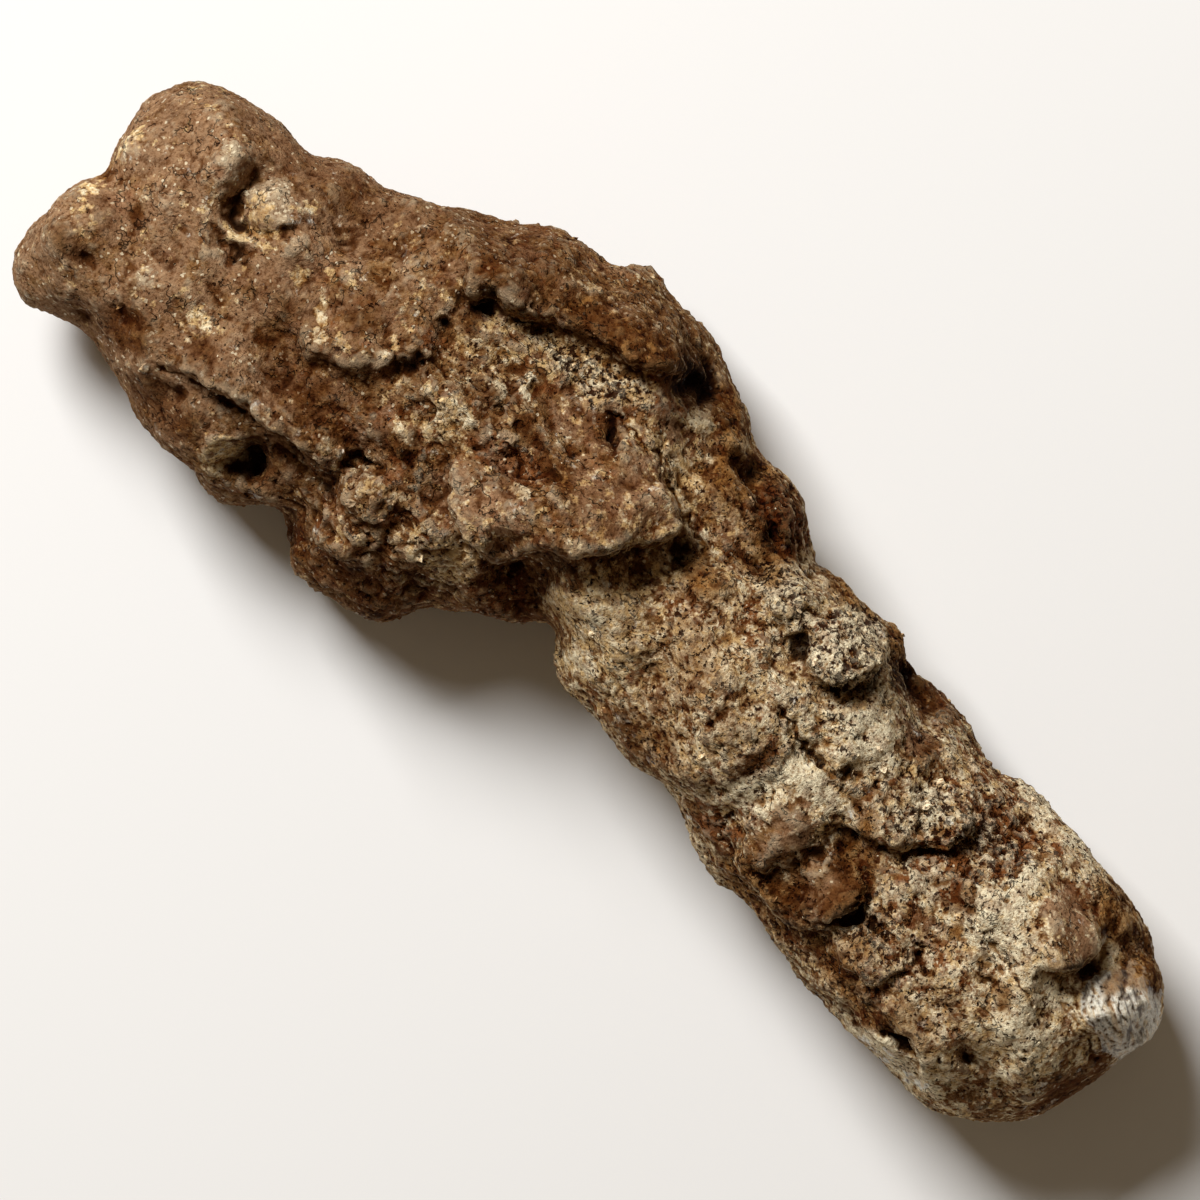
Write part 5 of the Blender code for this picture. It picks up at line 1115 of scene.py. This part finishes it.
def grain_tree():
    """Scatters blocky grains, each with its tone, on a mesh between two places along x, partly sunk in it."""
    tree = bpy.data.node_groups.new("fused_grains", "GeometryNodeTree")
    given = named_inputs(tree, {
        "From": "Float", "To": "Float", "Size": "Float", "Spacing": "Float", "Density": "Float",
        "Subdivisions": "Int", "Lumpiness": "Float", "Sunk": "Float", "Seed": "Int", "Material": "Material",
    })
    place = add(tree, "GeometryNodeInputPosition")
    x = add(tree, "ShaderNodeSeparateXYZ", {0: place})
    z = x.node.outputs["Z"]
    normal_z = add(tree, "ShaderNodeSeparateXYZ", {0: add(tree, "GeometryNodeInputNormal")}, out="Z")
    glass, rough = (
        add(tree, "GeometryNodeInputNamedAttribute", {"Name": name}, data_type="FLOAT")
        for name in ("glass", "rough"))
    after = add(tree, "ShaderNodeMath", {0: x, 1: given["From"]}, operation="GREATER_THAN")
    before = add(tree, "ShaderNodeMath", {0: x, 1: given["To"]}, operation="LESS_THAN")
    clear = add(tree, "ShaderNodeMath", {0: z, 1: CLEAR_OF_TABLE * MM}, operation="GREATER_THAN")

    # fewer grains on what faces down, hardly any on bare glass, and more where the crust is rough
    upper = add(tree, "ShaderNodeMapRange",
                {"Value": normal_z, "From Min": -0.2, "From Max": 0.4, "To Min": 0.3})
    crusted = add(tree, "ShaderNodeMapRange",
                  {"Value": glass, "From Min": 0.3, "From Max": 0.6, "To Min": 1.0, "To Max": 0.05})
    share = after
    for factor in (before, clear, upper, crusted, rough):
        share = add(tree, "ShaderNodeMath", {0: share, 1: factor}, operation="MULTIPLY")
    scattered = add(tree, "GeometryNodeDistributePointsOnFaces", {
        "Mesh": given["Geometry"], "Distance Min": given["Spacing"], "Density Max": given["Density"],
        "Density Factor": share, "Seed": given["Seed"]}, distribute_method="POISSON")
    depth = add(tree, "ShaderNodeMath", {0: given["Size"], 1: given["Sunk"]}, operation="MULTIPLY")
    depth = add(tree, "ShaderNodeMath", {0: depth, 1: -1.0}, operation="MULTIPLY")
    sunk = add(tree, "ShaderNodeVectorMath", {0: scattered.node.outputs["Normal"], "Scale": depth},
               operation="SCALE")
    scattered = add(tree, "GeometryNodeSetPosition", {"Geometry": scattered, "Offset": sunk})

    # each is a block 1 wide, then stretched to its size and turned any way
    block = add(tree, "GeometryNodeMeshIcoSphere", {"Radius": 0.5, "Subdivisions": given["Subdivisions"]})
    turn, stretch = (
        add(tree, "FunctionNodeRandomValue", {0: least, 1: most, "Seed": given["Seed"]},
            data_type="FLOAT_VECTOR")
        for least, most in (((0, 0, 0), (FULL_TURN,) * 3), (LEAST_STRETCH, MOST_STRETCH)))
    stretch = add(tree, "ShaderNodeVectorMath", {0: stretch, "Scale": given["Size"]}, operation="SCALE")
    grains = add(tree, "GeometryNodeInstanceOnPoints", {
        "Points": scattered, "Instance": block, "Rotation": turn, "Scale": stretch})
    tone = add(tree, "FunctionNodeRandomValue", {"Seed": given["Seed"]}, out=1, data_type="FLOAT")
    toned = add(tree, "GeometryNodeStoreNamedAttribute", {"Geometry": grains, "Name": "tone", "Value": tone},
                data_type="FLOAT", domain="INSTANCE")
    solid = add(tree, "GeometryNodeRealizeInstances", {0: toned})
    per_size = add(tree, "ShaderNodeMath", {0: LUMPS_ACROSS, 1: given["Size"]}, operation="DIVIDE")
    uneven = stray(tree, {"Vector": place, "Scale": per_size, "Detail": 1.0}, given["Lumpiness"])
    solid = add(tree, "GeometryNodeSetPosition", {"Geometry": solid, "Offset": uneven})
    solid = add(tree, "GeometryNodeSetMaterial", {"Geometry": solid, "Material": given["Material"]})
    add(tree, "NodeGroupOutput", {0: solid})
    return tree


# ---------------------------------------------------------------- operators

def new_object(name, data):
    obj = bpy.data.objects.new(name, data)
    bpy.context.scene.collection.objects.link(obj)
    return obj


def place_piece(obj, material):
    obj.data.materials.clear()
    obj.data.materials.append(material)
    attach(obj, "root")


class FULGURITE_OT_crust(bpy.types.Operator):
    """Builds the crust from the solid: ledges, cracks, knobs, relief and stains"""
    bl_idname = "fulgurite.crust"
    bl_label = "Crust"

    def execute(self, context):
        sizes = context.scene.fulgurite_crust
        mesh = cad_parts[NODE].data.copy()
        bm = bmesh.new()
        bm.from_mesh(mesh)
        bmesh.ops.remove_doubles(bm, verts=bm.verts, dist=WELD * MM)
        bm.to_mesh(mesh)
        bm.free()
        crust = new_object("crust", mesh)
        remesh(crust, *COARSE)
        sculpt(crust.data, [ledges, knobs])
        remesh(crust, *FINE)
        sculpt(crust.data, [cracks, flutes])
        paint_masks(crust.data)
        run_tree(crust, relief_tree(), {
            property_label(name): float(getattr(sizes, name)) for name in sizes.__annotations__})
        thin(crust, MOST_TRIANGLES)
        points, _ = coordinates(crust.data)
        points[points[:, 2] < FLAT_BELOW, 2] = 0
        set_points(crust.data, points)
        crust.data.shade_smooth()
        paint_masks(crust.data)
        place_piece(crust, crust_material(context.scene.fulgurite_colours))
        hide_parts(NODE)
        return {"FINISHED"}


class FULGURITE_OT_grains(bpy.types.Operator):
    """Scatters sand grains and larger crumbs on the crust"""
    bl_idname = "fulgurite.grains"
    bl_label = "Grains"

    def execute(self, context):
        sizes = context.scene.fulgurite_grains
        crust = bpy.data.objects["crust"].data
        material = grain_material(context.scene.fulgurite_colours)
        tree = grain_tree()
        grain = {"Size": sizes.grain_size, "Density": GRAIN_DENSITY, "Subdivisions": 1, "Lumpiness": 0.0,
                 "Sunk": GRAIN_SUNK}
        crumb = {"Size": sizes.crumb_size, "Density": CRUMB_DENSITY, "Subdivisions": 2,
                 "Lumpiness": sizes.crumb_size * CRUMB_LUMPINESS, "Sunk": CRUMB_SUNK}
        pieces = [(name, grain, sizes.seed + number) for number, name in enumerate(GRAIN_REGIONS)]
        for name, kind, seed in (*pieces, ("crumbs", crumb, sizes.seed)):
            start, end = GRAIN_REGIONS.get(name, WHOLE_LENGTH)
            piece = new_object(name, crust)
            run_tree(piece, tree, {
                **kind, "From": start * MM, "To": end * MM, "Spacing": kind["Size"], "Seed": seed,
                "Material": material,
            })
            place_piece(piece, material)
        return {"FINISHED"}


class FULGURITE_OT_stage(bpy.types.Operator):
    """Makes the plain table, the soft light and the camera that looks straight down"""
    bl_idname = "fulgurite.stage"
    bl_label = "Stage"

    def execute(self, context):
        stage = context.scene.fulgurite_stage
        mesh = bpy.data.meshes.new("table")
        bm = bmesh.new()
        bmesh.ops.create_grid(bm, size=TABLE_HALF)
        bm.to_mesh(mesh)
        bm.free()
        table = new_object("table", mesh)
        # matt white paint: even and without shine, so that the table shows only the lump's shadow
        material, _, shader = new_material("matt_white_paint")
        shader.inputs["Base Color"].default_value = stage.floor
        shader.inputs["Roughness"].default_value = MATT
        mesh.materials.append(material)

        lens = bpy.data.cameras.new("camera")
        lens.lens = lens.sensor_width * VIEW_HEIGHT / stage.view_width
        lens.clip_start = NEAREST_SEEN
        camera = new_object("camera", lens)
        camera.location = (*(c * MM for c in AIM), VIEW_HEIGHT + LUMP_MIDDLE)
        camera.rotation_euler = (0, 0, math.radians(ROLL))
        context.scene.camera = camera

        light = bpy.data.lights.new("key", "AREA")
        light.size = KEY_WIDTH
        light.energy = stage.key_power
        key = new_object("key", light)
        way = Vector(KEY_DIRECTION).normalized()
        key.location = way * KEY_DISTANCE
        key.rotation_euler = (-way).to_track_quat("-Z", "Y").to_euler()

        world = bpy.data.worlds.new("even_light")
        world.use_nodes = True
        background = world.node_tree.nodes["Background"]
        background.inputs["Color"].default_value = stage.sky_colour
        background.inputs["Strength"].default_value = stage.sky
        context.scene.world = world
        context.scene.view_settings.view_transform = "Standard"
        return {"FINISHED"}


class FULGURITE_PT_panel(bpy.types.Panel):
    bl_label = "Fulgurite"
    bl_idname = "FULGURITE_PT_panel"
    bl_space_type = "VIEW_3D"
    bl_region_type = "UI"
    bl_category = "Fulgurite"

    def draw(self, context):
        for group in GROUPS:
            box = self.layout.box()
            settings = getattr(context.scene, group)
            for name in settings.__annotations__:
                box.prop(settings, name)
            if group != "fulgurite_colours":  # the crust and the grains are made again with new colours
                box.operator(group.replace("_", "."))


GROUPS = {
    "fulgurite_crust": FulguriteCrust,
    "fulgurite_grains": FulguriteGrains,
    "fulgurite_colours": FulguriteColours,
    "fulgurite_stage": FulguriteStage,
}
CLASSES = (
    *GROUPS.values(), FULGURITE_OT_crust, FULGURITE_OT_grains, FULGURITE_OT_stage, FULGURITE_PT_panel)


def register():
    for cls in CLASSES:
        bpy.utils.register_class(cls)
    for name, group in GROUPS.items():
        setattr(bpy.types.Scene, name, PointerProperty(type=group))


def unregister():
    for name in GROUPS:
        delattr(bpy.types.Scene, name)
    for cls in reversed(CLASSES):
        bpy.utils.unregister_class(cls)


def main():
    register()
    bpy.ops.fulgurite.crust()
    bpy.ops.fulgurite.grains()
    bpy.ops.fulgurite.stage()


if __name__ == "__main__":
    main()
